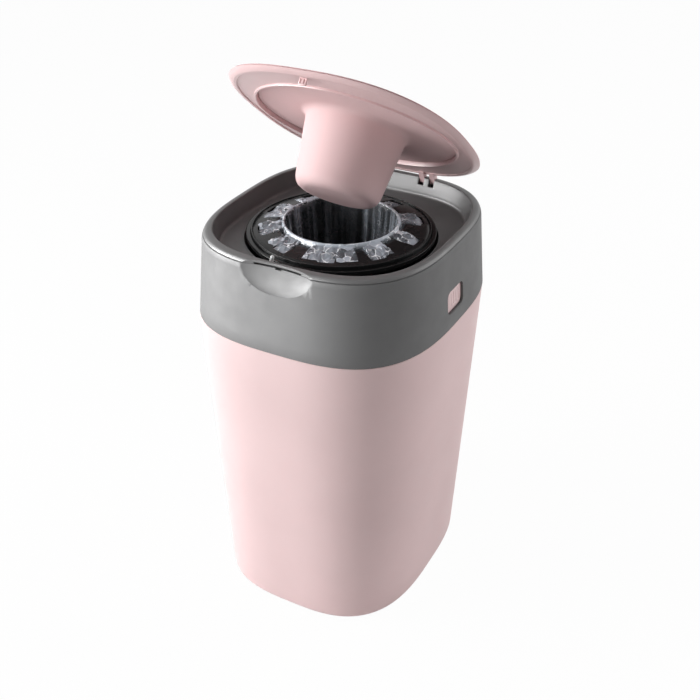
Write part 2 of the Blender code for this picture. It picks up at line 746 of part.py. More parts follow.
def build_film_pack(material):
    """The film gathered in the trough, its top rippled by the gathers."""
    near = TUBE_RADIUS + PACK_CLEARANCE
    far = CASSETTE_RADIUS - CASSETTE_WALL - PACK_CLEARANCE
    low = CASSETTE_LOW_Z + CASSETTE_WALL + FIT
    points = PACK_RIPPLES * 4

    def ring(radius, z, ripple):
        result = []
        for step in range(points):
            angle = 2 * math.pi * step / points
            height = z + ripple * math.cos(PACK_RIPPLES * angle)
            result.append((radius * math.cos(angle), radius * math.sin(angle), height))
        return result

    middle = (near + far) / 2
    top = CASSETTE_TOP_Z - PACK_DROP - PACK_RIPPLE
    rings = [
        ring(far, low, 0.0),
        ring(far, top - PACK_RIPPLE * 2, 0.0),
        ring(middle, top, PACK_RIPPLE),
        ring(near, top - PACK_RIPPLE * 2, 0.0),
        ring(near, low, 0.0),
    ]
    return place(loft("film_pack", rings, closed=True), material)


def build_film_sleeve(material):
    """One sleeve of film: out of the petals' gaps, over the tube's rim, down through it to a knot."""

    def ring(radius_at, z_at):
        result = []
        for step in range(SLEEVE_POINTS):
            angle = 2 * math.pi * step / SLEEVE_POINTS
            radius = radius_at(angle)
            result.append((radius * math.cos(angle), radius * math.sin(angle), z_at(angle)))
        return result

    def gap(angle):
        return 1 - lobe(angle, PETALS, PETAL_SHARE + PETAL_BLEND_SHARE, PETAL_BLEND_SHARE)

    def pleated(radius, z, depth):
        def radius_at(angle):
            return radius - depth * (0.5 - 0.5 * math.cos(SLEEVE_PLEATS * angle))
        return ring(radius_at, lambda angle: z)

    def skirt(drop):
        near = (TUBE_RADIUS + SKIRT_OUT, TUBE_TOP_Z - SKIRT_DROP)
        far = (CAP_ROOT_RADIUS - SKIRT_TIP_GAP, CASSETTE_TOP_Z - SKIRT_TIP_DROP)

        def radius_at(angle):
            return near[0] + (far[0] - near[0]) * gap(angle)

        def z_at(angle):
            return near[1] + (far[1] - near[1]) * gap(angle) - drop
        return ring(radius_at, z_at)

    def level(radius, z):
        return ring(lambda angle: radius, lambda angle: z)

    fold = TUBE_RADIUS + FOLD_OUT
    fold_z = TUBE_TOP_Z + FOLD_GAP
    turn = TUBE_BORE - FOLD_IN
    grip_z = GRIP_TIP_Z - GRIPPED_DROP
    twist_z = grip_z - TWIST_DROP
    knot_z = twist_z - KNOT_DROP
    tail_neck_z = knot_z - TAIL_NECK_DROP
    pleats = [
        (GRIPPED_RADIUS, grip_z, PLEAT_DEPTH),
        (TUBE_BORE - NECK_IN, TUBE_TOP_Z - NECK_DROP, PLEAT_DEPTH),
        (TUBE_BORE - SLEEVE_LOOSE, TUBE_TOP_Z - SLEEVE_LOOSE_DROP, PLEAT_DEPTH),
        (TUBE_BORE - SLEEVE_GAP, TUBE_TOP_Z - SLEEVE_TOP_DROP, PLEAT_DEPTH / 3),
    ]
    inside = [pleated(radius - FILM, z, depth) for radius, z, depth in pleats]
    outside = [pleated(radius, z, depth) for radius, z, depth in reversed(pleats)]
    rings = [level(TWIST_RADIUS - FILM, twist_z + TWIST_FLOOR)] + inside + [
        level(turn - FILM, fold_z + FILM / 2),
        level(fold - FILM * 2, fold_z + FILM),
        level(fold, fold_z + FILM / 2),
        skirt(0.0),
        skirt(FILM),
        level(fold - FILM, fold_z),
        level(turn, fold_z),
    ] + outside + [
        level(TWIST_RADIUS, twist_z),
        level(KNOT_RADIUS, knot_z),
        level(TAIL_NECK_RADIUS, tail_neck_z),
        level(TAIL_RADIUS, tail_neck_z - TAIL_DROP),
    ]
    return place(loft("film_sleeve", rings, closed=False), material)


def build_click_peg(material):
    """The small white peg on the deck beside the carrier, leaning along the carrier's edge."""
    foot = DECK_Z + FIT
    length = PEG_HEIGHT / math.cos(PEG_LEAN)
    profile = [(0.0, length)]
    for step in range(1, 4):
        angle = math.pi / 2 * step / 3
        profile.append((PEG_RADIUS * math.sin(angle), length - PEG_RADIUS * (1 - math.cos(angle))))
    profile += [(PEG_RADIUS, -PEG_FOOT), (0.0, -PEG_FOOT)]
    post = guide(lathe("click_peg_post", profile, closed=False, steps=12))
    orbit = COLLAR_RADIUS + COLLAR_LIP + FIT + PEG_FOOT_RADIUS
    out = Vector((math.cos(PEG_ANGLE), math.sin(PEG_ANGLE), 0.0))
    place_at = Vector((0.0, CASSETTE_Y, foot)) + out * orbit
    post.location = place_at
    post.rotation_mode = "QUATERNION"
    post.rotation_quaternion = Matrix.Rotation(-PEG_LEAN, 4, out).to_quaternion()
    foot_profile = [
        (0.0, PEG_FOOT),
        (PEG_FOOT_RADIUS - PEG_FOOT / 2, PEG_FOOT),
        (PEG_FOOT_RADIUS, PEG_FOOT / 2),
        (PEG_FOOT_RADIUS, 0.0),
        (0.0, 0.0),
    ]
    item = place(lathe("click_peg", foot_profile, closed=False, steps=16), material)
    item.location = place_at
    low = place_at - Vector((OVERRUN, OVERRUN, -PEG_FOOT / 4))
    high = place_at + Vector((OVERRUN, OVERRUN, length))
    combine(post, guide(box("click_peg_limit", low, high)), "INTERSECT")
    return combine(item, post, "UNION")


def lid_ring(inset, z):
    half_x, half_y = LID_HALF_X - inset, LID_HALF_Y - inset
    return oval(half_x, half_y, z, LID_POWER, LID_REAR_Y - LID_HALF_Y)


def dial_ring(radius, z):
    return circle(radius, z, CASSETTE_Y)


def ear_outline():
    """A hinge ear seen from the side, about the hinge axis: knuckle, shank and root in the flange."""
    root = LID_LOW_Z - HINGE_Z
    outline = [(-EAR_REACH, root + EAR_EMBED), (-EAR_REACH, root - FIT)]
    for step in range(9):
        angle = math.radians(-150 + 220 * step / 8)
        outline.append((KNUCKLE_RADIUS * math.cos(angle), KNUCKLE_RADIUS * math.sin(angle)))
    outline.append((-EAR_SHANK, root + EAR_EMBED))
    return [(HINGE_Y + y, HINGE_Z + z) for y, z in outline]


def catch_outline():
    """The lid's front hook seen from the side, its barb towards the bin."""
    front = SCOOP_BACK_Y - CATCH_OUT
    back = front + CATCH_WALL
    barb = back + CATCH_BARB
    top_z = LID_LOW_Z + EAR_EMBED
    low_z = LID_LOW_Z - CATCH_LENGTH
    barb_z = low_z + CATCH_BARB_RISE
    return [
        (front, top_z),
        (front, low_z),
        (back, low_z),
        (barb, barb_z - CATCH_WALL / 2),
        (barb, barb_z),
        (back, barb_z + CATCH_WALL),
        (back, top_z),
    ]


def build_lid_frame(material):
    """The lid's inner moulding: flange, round rib, dial ledge, hinge ears and catch."""
    under = LID_LOW_Z
    flange_top = under + LID_WALL
    edge = LID_EDGE_INSET
    rib_out = RIB_RADIUS + RIB_WALL
    rib_low = under - RIB_DROP
    rise = LID_EDGE_RISE
    rings = [
        lid_ring(edge, under),
        lid_ring(edge * LID_EDGE_BEND_SHARES[0], under + rise * LID_EDGE_BEND_SHARES[1]),
        lid_ring(0.0, LID_EDGE_Z),
        lid_ring(edge / 4, LID_JOINT_Z),
        lid_ring(edge * 2 / 3, LID_JOINT_Z),
        lid_ring(edge, flange_top),
        dial_ring(rib_out, flange_top),
        dial_ring(rib_out, LEDGE_TOP_Z),
        dial_ring(LEDGE_RADIUS, LEDGE_TOP_Z),
        dial_ring(LEDGE_RADIUS, LEDGE_LOW_Z),
        dial_ring(RIB_RADIUS, LEDGE_LOW_Z),
        dial_ring(RIB_RADIUS, rib_low),
        dial_ring(rib_out, rib_low),
        dial_ring(rib_out, under),
    ]
    frame = on_lid(loft("lid_frame", rings, closed=True), material)
    for low_x in ear_places():
        ear = guide(prism_x("hinge_ear", ear_outline(), low_x, low_x + EAR_WIDTH))
        combine(frame, to_lid(ear), "UNION")
    catch = guide(prism_x("lid_catch", catch_outline(), -CATCH_HALF_X, CATCH_HALF_X))
    combine(frame, to_lid(catch), "UNION")
    reach = EAR_FAR_X + EAR_WIDTH + EAR_CLEARANCE
    bore = guide(rod_x("ear_bore", PIN_RADIUS + PIN_CLEARANCE, -reach, reach, HINGE_Y, HINGE_Z))
    combine(frame, to_lid(bore), "DIFFERENCE")
    return frame


def build_lid_shell(material):
    """The lid's crowned top, round the dial's hole and down to the joint with the frame."""
    low = LID_JOINT_Z + FIT
    inset = LID_EDGE_INSET
    collar = DIAL_HOLE_RADIUS + LID_WALL
    collar_low = LEDGE_TOP_Z + FIT
    shoulder_under = SHELL_SHOULDER_Z - LID_WALL
    rings = [
        lid_ring(inset / 12, low),
        lid_ring(inset / 6, (low + SHELL_EDGE_Z) / 2),
        lid_ring(inset / 2, SHELL_EDGE_Z),
        lid_ring(SHELL_SHOULDER_INSET, SHELL_SHOULDER_Z),
        dial_ring(DIAL_HOLE_RADIUS, SHELL_CROWN_Z),
        dial_ring(DIAL_HOLE_RADIUS, collar_low),
        dial_ring(collar, collar_low),
        dial_ring(collar, SHELL_CROWN_Z - LID_WALL),
        lid_ring(SHELL_SHOULDER_INSET + LID_WALL / 2, shoulder_under),
        lid_ring(inset / 2, low),
    ]
    return on_lid(loft("lid_shell", rings, closed=True), material)


def build_dial(material):
    """The twist dial: crowned disc, dished middle with a grip bar, and a hub through the frame."""
    hub_low = PLATE_WALL + FIT
    hub_in = HUB_RADIUS - HUB_WALL
    dial_out = DIAL_HOLE_RADIUS - DIAL_GAP
    skirt_in = dial_out - DIAL_WALL
    shell_top = SHELL_CROWN_Z - PLATE_LOW_Z
    edge = shell_top - DIAL_EDGE_DROP
    shoulder = shell_top - DIAL_SHOULDER_DROP
    crown = shell_top + DIAL_CROWN_RISE
    low = LEDGE_TOP_Z + DIAL_SKIRT_GAP - PLATE_LOW_Z
    dish = crown - DISH_DEPTH
    dish_in = DISH_RADIUS - DISH_SLOPE
    profile = [
        (0.0, dish),
        (dish_in, dish),
        (DISH_RADIUS, crown),
        (HUB_RADIUS, (crown + shoulder) / 2),
        (skirt_in, shoulder),
        (dial_out, edge),
        (dial_out, low),
        (skirt_in, low),
        (skirt_in, edge - DIAL_WALL / 2),
        (HUB_RADIUS, shoulder - DIAL_WALL / 2),
        (HUB_RADIUS, hub_low),
        (hub_in, hub_low),
        (hub_in, shoulder - DIAL_WALL / 2),
        (DISH_RADIUS + DIAL_WALL, crown - DIAL_WALL),
        (dish_in + DIAL_WALL, dish - DIAL_WALL),
        (0.0, dish - DIAL_WALL),
    ]
    dial = on_dial(lathe("twist_dial", profile, closed=False), material)
    bar_low = (-DISH_RADIUS, -BAR_HALF_WIDTH, dish - DIAL_WALL / 2)
    bar = guide(box("grip_bar", bar_low, (DISH_RADIUS, BAR_HALF_WIDTH, crown - BAR_SINK)))
    bevel = bar.modifiers.new("round", "BEVEL")
    bevel.width = BAR_BEVEL
    bevel.segments = 2
    bevel.limit_method = "ANGLE"
    return combine(dial, to_dial(bar), "UNION")


def build_ratchet(material):
    """Saw teeth round the dial's hub, above the frame's ledge."""
    points = RATCHET_TEETH * 3
    bore = HUB_RADIUS + FIT

    def ring(tooth, z):
        result = []
        for step in range(points):
            angle = 2 * math.pi * step / points
            radius = bore
            if tooth:
                radius += RATCHET_RING + RATCHET_TOOTH * (step % 3) / 2
            result.append((radius * math.cos(angle), radius * math.sin(angle), z))
        return result

    low, high = RATCHET_LOW_Z - PLATE_LOW_Z, RATCHET_HIGH_Z - PLATE_LOW_Z
    rings = [ring(True, low), ring(True, high), ring(False, high), ring(False, low)]
    return on_dial(loft("dial_ratchet", rings, closed=True), material)


def build_click_spring(material):
    """A curved leaf on the frame's ledge; its nose stands in a gap of the ratchet."""
    steps = 12
    low = LEDGE_TOP_Z + FIT
    high = RATCHET_HIGH_Z
    face = RATCHET_TIP_RADIUS + FIT + SPRING_NOSE
    shape = []
    for step in range(steps + 1):
        share = step / steps
        angle = math.pi * 3 / 2 + SPRING_SWEEP * (share - 0.5)
        foot = SPRING_FOOT if share < 0.2 else 0.0
        nose = SPRING_NOSE if step == steps - 1 else 0.0
        inner = face - nose
        outer = face + SPRING_WALL + foot
        direction = Vector((math.cos(angle), math.sin(angle), 0.0))
        corners = [direction * inner, direction * outer, direction * outer, direction * inner]
        heights = (low, low, high, high)
        shape.append([(p.x, p.y + CASSETTE_Y, z) for p, z in zip(corners, heights)])
    return on_lid(loft("click_spring", shape, closed=False), material)


def build_plunger(material):
    """The tapered plunger and the round plate that it hangs from, one hollow moulding."""
    end = -PLUNGER_LENGTH
    plate_out = RIB_RADIUS - PLATE_GAP
    top, wall = TUBE_BORE - PLUNGER_GAP, PLUNGER_WALL
    end_radius = top - PLUNGER_TAPER
    taper = PLUNGER_TAPER / PLUNGER_LENGTH
    profile = [
        (0.0, end + wall),
        (end_radius - wall - PLUNGER_END_ROUND / 2, end + wall),
        (end_radius - wall + taper * wall, end + wall + PLUNGER_END_ROUND / 2),
        (top - wall, PLATE_WALL),
        (plate_out, PLATE_WALL),
        (plate_out, 0.0),
        (top + PLUNGER_FILLET, 0.0),
    ]
    for step in range(1, 5):
        angle = math.pi / 2 * step / 4
        sink = PLUNGER_FILLET * (1 - math.cos(angle))
        radius = top - taper * sink + PLUNGER_FILLET * (1 - math.sin(angle))
        profile.append((radius, -sink))
    turn = PLUNGER_END_ROUND
    for step in range(4):
        angle = math.pi / 2 * step / 3
        z = end + turn * (1 - math.sin(angle))
        radius = end_radius + taper * (z - end) - turn * (1 - math.cos(angle))
        profile.append((radius, z))
    profile.append((0.0, end))
    return on_dial(lathe("plunger", profile, closed=False), material)


def to_lid(item):
    """Hang a piece modelled with the lid shut from the lid's axis."""
    item.parent = LID_AXIS
    item.location = (0.0, -HINGE_Y, -HINGE_Z)
    return item


def on_lid(item, material):
    return to_lid(place(item, material))


def to_dial(item):
    item.parent = DIAL_AXIS
    return item


def on_dial(item, material):
    return to_dial(place(item, material))


def empty(name, location, parent=None):
    item = bpy.data.objects.new(name, None)
    item.location = location
    item.parent = parent
    PARTS.objects.link(item)
    return item


def build_cassette_group():
    """The carrier, the cassette and its film, which turn together about the well's axis."""
    axis = empty("cassette_axis", (0.0, CASSETTE_Y, 0.0))
    cap_z = CASSETTE_TOP_Z - CAP_DROP
    cap_sizes = (
        flat_radius(CASSETTE_RADIUS - CASSETTE_WALL) - FIT, CAP_ROOT_RADIUS, TUBE_RADIUS + CAP_TIP_GAP,
        cap_z, cap_z + CAP_RISE, CAP_THICKNESS,
    )
    petals = (PETAL_SHARE, PETAL_BLEND_SHARE)
    pieces = [
        build_carrier(plastic("carrier_black", BLACK, 0.35)),
        build_cassette(plastic("cassette_black", BLACK, 0.40)),
        petal_ring("cassette_cap", cap_sizes, PETALS, PETAL_POINTS, petals, plastic("cap_black", BLACK, 0.3)),
        build_film_pack(plastic("film_pack", FILM_BLUE, 0.35)),
        build_film_sleeve(plastic("film_sleeve", FILM_BLUE, 0.25)),
    ]
    for piece in pieces:
        piece.parent = axis


def build_hinge_pins():
    material = plastic("pin_steel", STEEL, 0.30, 1.0)
    for name, side in (("hinge_pin_left", -1), ("hinge_pin_right", 1)):
        ends = sorted((side * (EAR_NEAR_X - FIT), side * (EAR_FAR_X + EAR_WIDTH + FIT)))
        pin = rod_x(name, PIN_RADIUS, ends[0], ends[1], 0.0, 0.0, sides=16)
        place(pin, material).location = (0.0, HINGE_Y, HINGE_Z)


def build_grip_ring():
    """Flexible fingers under the carrier's seat, which hold the packs below the opening."""
    outer = COLLAR_RADIUS + LINER_WALL - GRIP_MARGIN
    root, tip = outer - GRIP_RING_WIDTH, GRIPPED_RADIUS + GRIP_TIP_GAP
    sizes = (outer, root, tip, GRIP_TOP_Z, GRIP_TIP_Z, GRIP_THICKNESS)
    shares = (FINGER_SHARE, FINGER_BLEND_SHARE)
    item = petal_ring("grip_ring", sizes, FINGERS, FINGER_POINTS, shares, plastic("grip_grey", GREY, 0.6))
    item.location = (0.0, CASSETTE_Y, 0.0)


def main():
    scoop = scoop_form("scoop", 0.0)
    build_tub(plastic("tub_pink", PINK, 0.35))
    build_housing(plastic("housing_grey", GREY, 0.45), scoop)
    build_liner(plastic("liner_grey", GREY, 0.45), scoop)
    build_release_tab("release_tab_left", -1, plastic("tab_pink_left", PINK, 0.4))
    build_release_tab("release_tab_right", 1, plastic("tab_pink_right", PINK, 0.4))
    build_cassette_group()
    build_grip_ring()
    build_click_peg(plastic("peg_white", WHITE, 0.3))
    build_hinge_pins()
    build_lid_frame(plastic("lid_frame_pink", PINK, 0.35))
    build_lid_shell(plastic("lid_shell_pink", PINK, 0.35))
    build_dial(plastic("dial_pink", PINK, 0.35))
    build_ratchet(plastic("ratchet_white", WHITE, 0.5))
    build_click_spring(plastic("spring_steel", STEEL, 0.3, 1.0))
    build_plunger(plastic("plunger_pink", PINK, 0.3))


clear_scene()
PARTS = new_collection("nappy_bin")
CUTTERS = new_collection("nappy_bin_cutters")
LID_AXIS = empty("lid_axis", (0.0, HINGE_Y, HINGE_Z))
LID_AXIS.rotation_euler = (-LID_OPEN, 0.0, 0.0)
DIAL_AXIS = empty("dial_axis", (0.0, CASSETTE_Y - HINGE_Y, PLATE_LOW_Z - HINGE_Z), LID_AXIS)
BORE = guide(rod_x(
    "pin_bore", PIN_RADIUS + PIN_CLEARANCE, -EAR_FAR_X - EAR_WIDTH, EAR_FAR_X + EAR_WIDTH, HINGE_Y, HINGE_Z
))
main()
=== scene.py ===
"""Looks of the nappy bin: smooth mouldings, film, finishes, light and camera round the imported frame.

Metres, +Z up, the front faces -Y. Lid pieces are shaped as when the lid is shut, then turned open.
"""

import json
import random
from math import atan2, cos, pi, radians, sin, sqrt

import bmesh
import bpy
from mathutils import Matrix, Vector
from mathutils import noise as crumple_noise


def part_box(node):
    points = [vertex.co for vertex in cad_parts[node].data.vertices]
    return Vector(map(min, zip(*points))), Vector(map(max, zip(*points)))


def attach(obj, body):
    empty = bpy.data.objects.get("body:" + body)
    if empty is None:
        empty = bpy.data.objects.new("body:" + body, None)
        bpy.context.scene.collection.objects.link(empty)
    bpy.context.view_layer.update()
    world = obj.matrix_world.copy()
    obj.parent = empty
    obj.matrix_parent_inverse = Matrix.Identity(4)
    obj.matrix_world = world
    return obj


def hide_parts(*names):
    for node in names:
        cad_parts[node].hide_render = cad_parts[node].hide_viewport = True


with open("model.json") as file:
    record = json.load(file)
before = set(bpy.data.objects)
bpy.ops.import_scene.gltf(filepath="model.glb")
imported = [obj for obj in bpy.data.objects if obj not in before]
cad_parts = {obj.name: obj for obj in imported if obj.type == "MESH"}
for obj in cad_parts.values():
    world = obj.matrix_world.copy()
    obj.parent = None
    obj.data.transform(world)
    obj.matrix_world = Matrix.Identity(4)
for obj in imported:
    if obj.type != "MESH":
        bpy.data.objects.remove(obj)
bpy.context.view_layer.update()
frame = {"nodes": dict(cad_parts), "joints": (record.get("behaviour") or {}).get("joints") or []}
CM = 0.01
MM = 0.001
FIT = 0.3 * MM

# Places read from the frame
tub_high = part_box("tub")[1]
housing_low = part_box("housing_shell")[0]
liner_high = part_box("well_liner")[1]
cassette_low, cassette_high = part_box("cassette_body")
carrier_low, carrier_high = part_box("cassette_carrier")
tab_low, tab_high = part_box("release_tab_right")
grip_low, grip_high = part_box("grip_ring")
film_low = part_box("film_sleeve")[0]
hinge = next(joint for joint in frame["joints"] if joint["name"] == "lid_hinge")
HINGE = Vector(hinge["pos_m"])
LID_OPEN = radians(-hinge["range_deg"][0])

# Body: half sizes seen from above, and heights
SEAM_HALF = (tub_high.x, tub_high.y)
SEAM_Z = housing_low.z - FIT
RIM_Z = liner_high.z
SHOULDER_Z = RIM_Z - 12 * MM
GROOVE_Z = RIM_Z - 4.4 * MM
DECK_Z = RIM_Z - 21 * MM
BASE_HALF = (SEAM_HALF[0] - 17.9 * MM, SEAM_HALF[1] - 11.1 * MM)
SHOULDER_HALF = (SEAM_HALF[0] - 5.3 * MM, SEAM_HALF[1] - 9.7 * MM)
BASE_EDGE = 9 * MM
RIM_INSET = 6.1 * MM
PLAN_POWER = 3.0
PLAN_POINTS = 240
SHARP = 30
WALL = 2.2 * MM
AXIS_Y = (cassette_low.y + cassette_high.y) / 2
CASSETTE_OUT = cassette_high.x


def link(name, data):
    item = bpy.data.objects.new(name, data)
    bpy.context.scene.collection.objects.link(item)
    return item


def dress(item, material):
    item.data.materials.clear()
    item.data.materials.append(material)


def finished(item, material, body, nodes):
    """Dress a piece, hang it on its body and let it stand for its CAD nodes."""
    dress(item, material)
    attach(item, body)
    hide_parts(*nodes)


def smooth(mesh, sharp=SHARP):
    mesh.shade_smooth()
    mesh.set_sharp_from_angle(angle=radians(sharp))


def object_from(name, shape, sharp=SHARP):
    bmesh.ops.recalc_face_normals(shape, faces=shape.faces)
    mesh = bpy.data.meshes.new(name)
    shape.to_mesh(mesh)
    shape.free()
    smooth(mesh, sharp)
    return link(name, mesh)


def clamp(value):
    return min(1.0, max(0.0, value))


def eased(value):
    """A smooth step from 0 to 1."""
    share = clamp(value)
    return share * share * (3 - 2 * share)


def span(side, near, far):
    """A stretch of x on one side of the middle plane, the lower end first."""
    return sorted((side * near, side * far))


def turn_angles(count):
    return [2 * pi * step / count for step in range(count)]


def oval(half_x, half_y, z, power=PLAN_POWER, centre_y=0.0):
    """A level ring on a superellipse, even in angle."""
    ring = []
    for angle in turn_angles(PLAN_POINTS):
        u, v = cos(angle), sin(angle)
        reach = (abs(u / half_x) ** power + abs(v / half_y) ** power) ** (-1 / power)
        ring.append(Vector((reach * u, centre_y + reach * v, z)))
    return ring


def well_ring(radius, z):
    return oval(radius, radius, z, 2.0, AXIS_Y)


def well_rings(*places):
    """Round rings about the well's axis at (radius, height)."""
    return [well_ring(radius, z) for radius, z in places]


def well_point(radius, angle, z):
    return Vector((radius * cos(angle), AXIS_Y + radius * sin(angle), z))


def loft(name, rings, closed=False, capped=True, sharp=SHARP):
    """Join rings of equally many points; an open loft is capped at both ends, unless it is a sheet."""
    shape = bmesh.new()
    loops = [[shape.verts.new(point) for point in ring] for ring in rings]
    pairs = list(zip(loops, loops[1:]))
    if closed:
        pairs.append((loops[-1], loops[0]))
    elif capped:
        shape.faces.new(loops[0])
        shape.faces.new(loops[-1])
    for low, high in pairs:
        for step in range(len(low)):
            after = (step + 1) % len(low)
            shape.faces.new((low[step], low[after], high[after], high[step]))
    return object_from(name, shape, sharp)


def turned(name, profile, closed=True, steps=PLAN_POINTS, centre_y=AXIS_Y):
    """A profile of (radius, height) turned about an upright axis in the middle plane."""
    shape = bmesh.new()
    columns = []
    for angle in turn_angles(steps):
        u, v = cos(angle), sin(angle)
        columns.append([
            shape.verts.new((radius * u, centre_y + radius * v, z)) if radius else None
            for radius, z in profile
        ])
    poles = [shape.verts.new((0.0, centre_y, z)) if radius == 0 else None for radius, z in profile]
    count = len(profile)
    for step in range(steps):
        here, there = columns[step], columns[(step + 1) % steps]
        for index in range(count if closed else count - 1):
            after = (index + 1) % count
            corners = [
                here[index] or poles[index], there[index] or poles[index],
                there[after] or poles[after], here[after] or poles[after],
            ]
            unique = list(dict.fromkeys(corners))
            if len(unique) > 2:
                shape.faces.new(unique)
    return object_from(name, shape)


def rounded(points, sizes, steps):
    """A closed profile with rounded corners; sizes gives each one's reach in mm, 0 for a sharp one."""
    result = []
    count = len(points)
    for index, (point, size) in enumerate(zip(points, sizes)):
        here = Vector(point)
        if not size:
            result.append(tuple(here))
            continue
        before = Vector(points[index - 1]) - here
        after = Vector(points[(index + 1) % count]) - here
        reach = min(size * MM, before.length * 0.45, after.length * 0.45)
        start, end = here + before.normalized() * reach, here + after.normalized() * reach
        for step in range(steps + 1):
            share = step / steps
            result.append(tuple(
                start * (1 - share) ** 2 + here * 2 * share * (1 - share) + end * share ** 2
            ))
    return result


def box(name, low, high):
    shape = bmesh.new()
    bmesh.ops.create_cube(shape, size=1.0)
    low, high = Vector(low), Vector(high)
    bmesh.ops.scale(shape, vec=high - low, verts=shape.verts)
    bmesh.ops.translate(shape, vec=(low + high) / 2, verts=shape.verts)
    return object_from(name, shape)


def prism_x(name, outline, low_x, high_x):
    rings = [[Vector((x, y, z)) for y, z in outline] for x in (low_x, high_x)]
    return loft(name, rings)


def rounded_outline(half_u, half_v, corner, centre=(0.0, 0.0), per_corner=8):
    points = []
    for quarter, (sign_u, sign_v) in enumerate(((1, 1), (-1, 1), (-1, -1), (1, -1))):
        for step in range(per_corner + 1):
            angle = pi / 2 * (quarter + step / per_corner)
            u = sign_u * (half_u - corner) + corner * cos(angle)
            v = sign_v * (half_v - corner) + corner * sin(angle)
            points.append((centre[0] + u, centre[1] + v))
    return points


def apply_modifiers(item):
    graph = bpy.context.evaluated_depsgraph_get()
    mesh = bpy.data.meshes.new_from_object(item.evaluated_get(graph), depsgraph=graph)
    item.modifiers.clear()
    item.data = mesh


def cut(item, tool, operation="DIFFERENCE"):
    """Cut the tool out of the item, or join or intersect them; the tool is used up."""
    change = item.modifiers.new("cut", "BOOLEAN")
    change.operation = operation
    change.object = tool
    apply_modifiers(item)
    bpy.data.objects.remove(tool)


def soften(item, width):
    """Round the sharp edges that the cuts leave."""
    sharp, weld = 35, 0.02 * MM
    shape = bmesh.new()
    shape.from_mesh(item.data)
    bmesh.ops.remove_doubles(shape, verts=shape.verts, dist=weld)
    shape.to_mesh(item.data)
    shape.free()
    bevel = item.modifiers.new("edge", "BEVEL")
    bevel.width = width
    bevel.segments = 2
    bevel.limit_method = "ANGLE"
    bevel.angle_limit = radians(sharp)
    bevel.use_clamp_overlap = True
    bevel.harden_normals = False
    apply_modifiers(item)
    smooth(item.data, sharp)


# Materials: every one is mixed from noise in the piece's own coordinates


def shader_of(name):
    material = bpy.data.materials.new(name)
    material.use_nodes = True
    tree = material.node_tree
    return material, tree, tree.nodes["Principled BSDF"]


def feed(tree, node, inputs):
    """Set each input to its value, or link it where the value is a socket."""
    for key, value in inputs.items():
        if isinstance(value, bpy.types.NodeSocket):
            tree.links.new(value, node.inputs[key])
        else:
            node.inputs[key].default_value = value
    return node


def new_node(tree, kind, inputs, operation=None):
    node = tree.nodes.new(kind)
    if operation:
        node.operation = operation
    return feed(tree, node, inputs)


def object_place(tree):
    return tree.nodes.new("ShaderNodeTexCoord").outputs["Object"]


def noise(tree, scale, detail=3.0, roughness=0.5, stretch=None, source=None):
    """Noise in object coordinates or at another source; stretch scales the three directions unlike."""
    place = source or object_place(tree)
    if stretch:
        place = new_node(tree, "ShaderNodeMapping", {"Vector": place, "Scale": stretch}).outputs["Vector"]
    inputs = {"Vector": place, "Scale": scale, "Detail": detail, "Roughness": roughness}
    return new_node(tree, "ShaderNodeTexNoise", inputs).outputs["Fac"]


def ramp(tree, factor, low, high, start=0.35, end=0.65):
    """Turn a factor into a value or a colour between low and high."""
    if isinstance(low, float):
        inputs = {"Value": factor, "From Min": start, "From Max": end, "To Min": low, "To Max": high}
        return new_node(tree, "ShaderNodeMapRange", inputs).outputs["Result"]
    node = new_node(tree, "ShaderNodeValToRGB", {"Fac": factor})
    first, last = node.color_ramp.elements
    first.position = start
    first.color = (*low, 1.0)
    last.position = end
    last.color = (*high, 1.0)
    return node.outputs["Color"]


def bump(tree, shader, heights):
    """Stack bumps of (factor, strength, depth) under the surface."""
    normal = None
    for factor, strength, depth in heights:
        inputs = {"Height": factor, "Strength": strength, "Distance": depth}
        if normal:
            inputs["Normal"] = normal
        normal = new_node(tree, "ShaderNodeBump", inputs).outputs["Normal"]
    tree.links.new(normal, shader.inputs["Normal"])


def vector_math(tree, operation, first, second=(0.0, 0.0, 0.0), result="Vector"):
    return new_node(tree, "ShaderNodeVectorMath", {0: first, 1: second}, operation).outputs[result]


def combined(tree, operation, first, second):
    node = new_node(tree, "ShaderNodeMath", {0: first, 1: second}, operation)
    node.use_clamp = True
    return node.outputs["Value"]


def mixed(tree, factor, first, second):
    return new_node(tree, "ShaderNodeMixShader", {"Fac": factor, 1: first, 2: second}).outputs["Shader"]


def shade(colour, factor):
    return tuple(channel * factor for channel in colour)


def moulded(name, colour, roughness, grain=0.25, specular=0.5, soft=0.0):
    """Moulded plastic: faint clouds in the colour, uneven polish and a fine eroded grain."""
    material, tree, shader = shader_of(name)
    clouds = noise(tree, 9.0, 4.0)
    handled = noise(tree, 38.0, 5.0, 0.6)
    flow = noise(tree, 22.0, 2.0, 0.5, (1.0, 1.0, 0.35))
    feed(tree, shader, {
        "Base Color": ramp(tree, clouds, shade(colour, 0.975), shade(colour, 1.02)),
        "Roughness": ramp(tree, handled, roughness * 0.90, roughness * 1.12, 0.3, 0.7),
        "Specular IOR Level": specular,
    })
    if soft:
        shader.inputs["Subsurface Weight"].default_value = soft
        shader.inputs["Subsurface Radius"].default_value = (1.0, 0.7, 0.7)
        shader.inputs["Subsurface Scale"].default_value = 4 * MM
    bump(tree, shader, [(flow, 0.25, 0.3 * MM), (noise(tree, 2600.0, 2.0), grain, 0.05 * MM)])
    return material


PINK = (0.790, 0.592, 0.592)
LID_PINK = (0.780, 0.560, 0.562)
GREY = (0.104, 0.104, 0.105)
LINER_GREY = (0.112, 0.112, 0.113)
BLACK = (0.0045, 0.0048, 0.005)

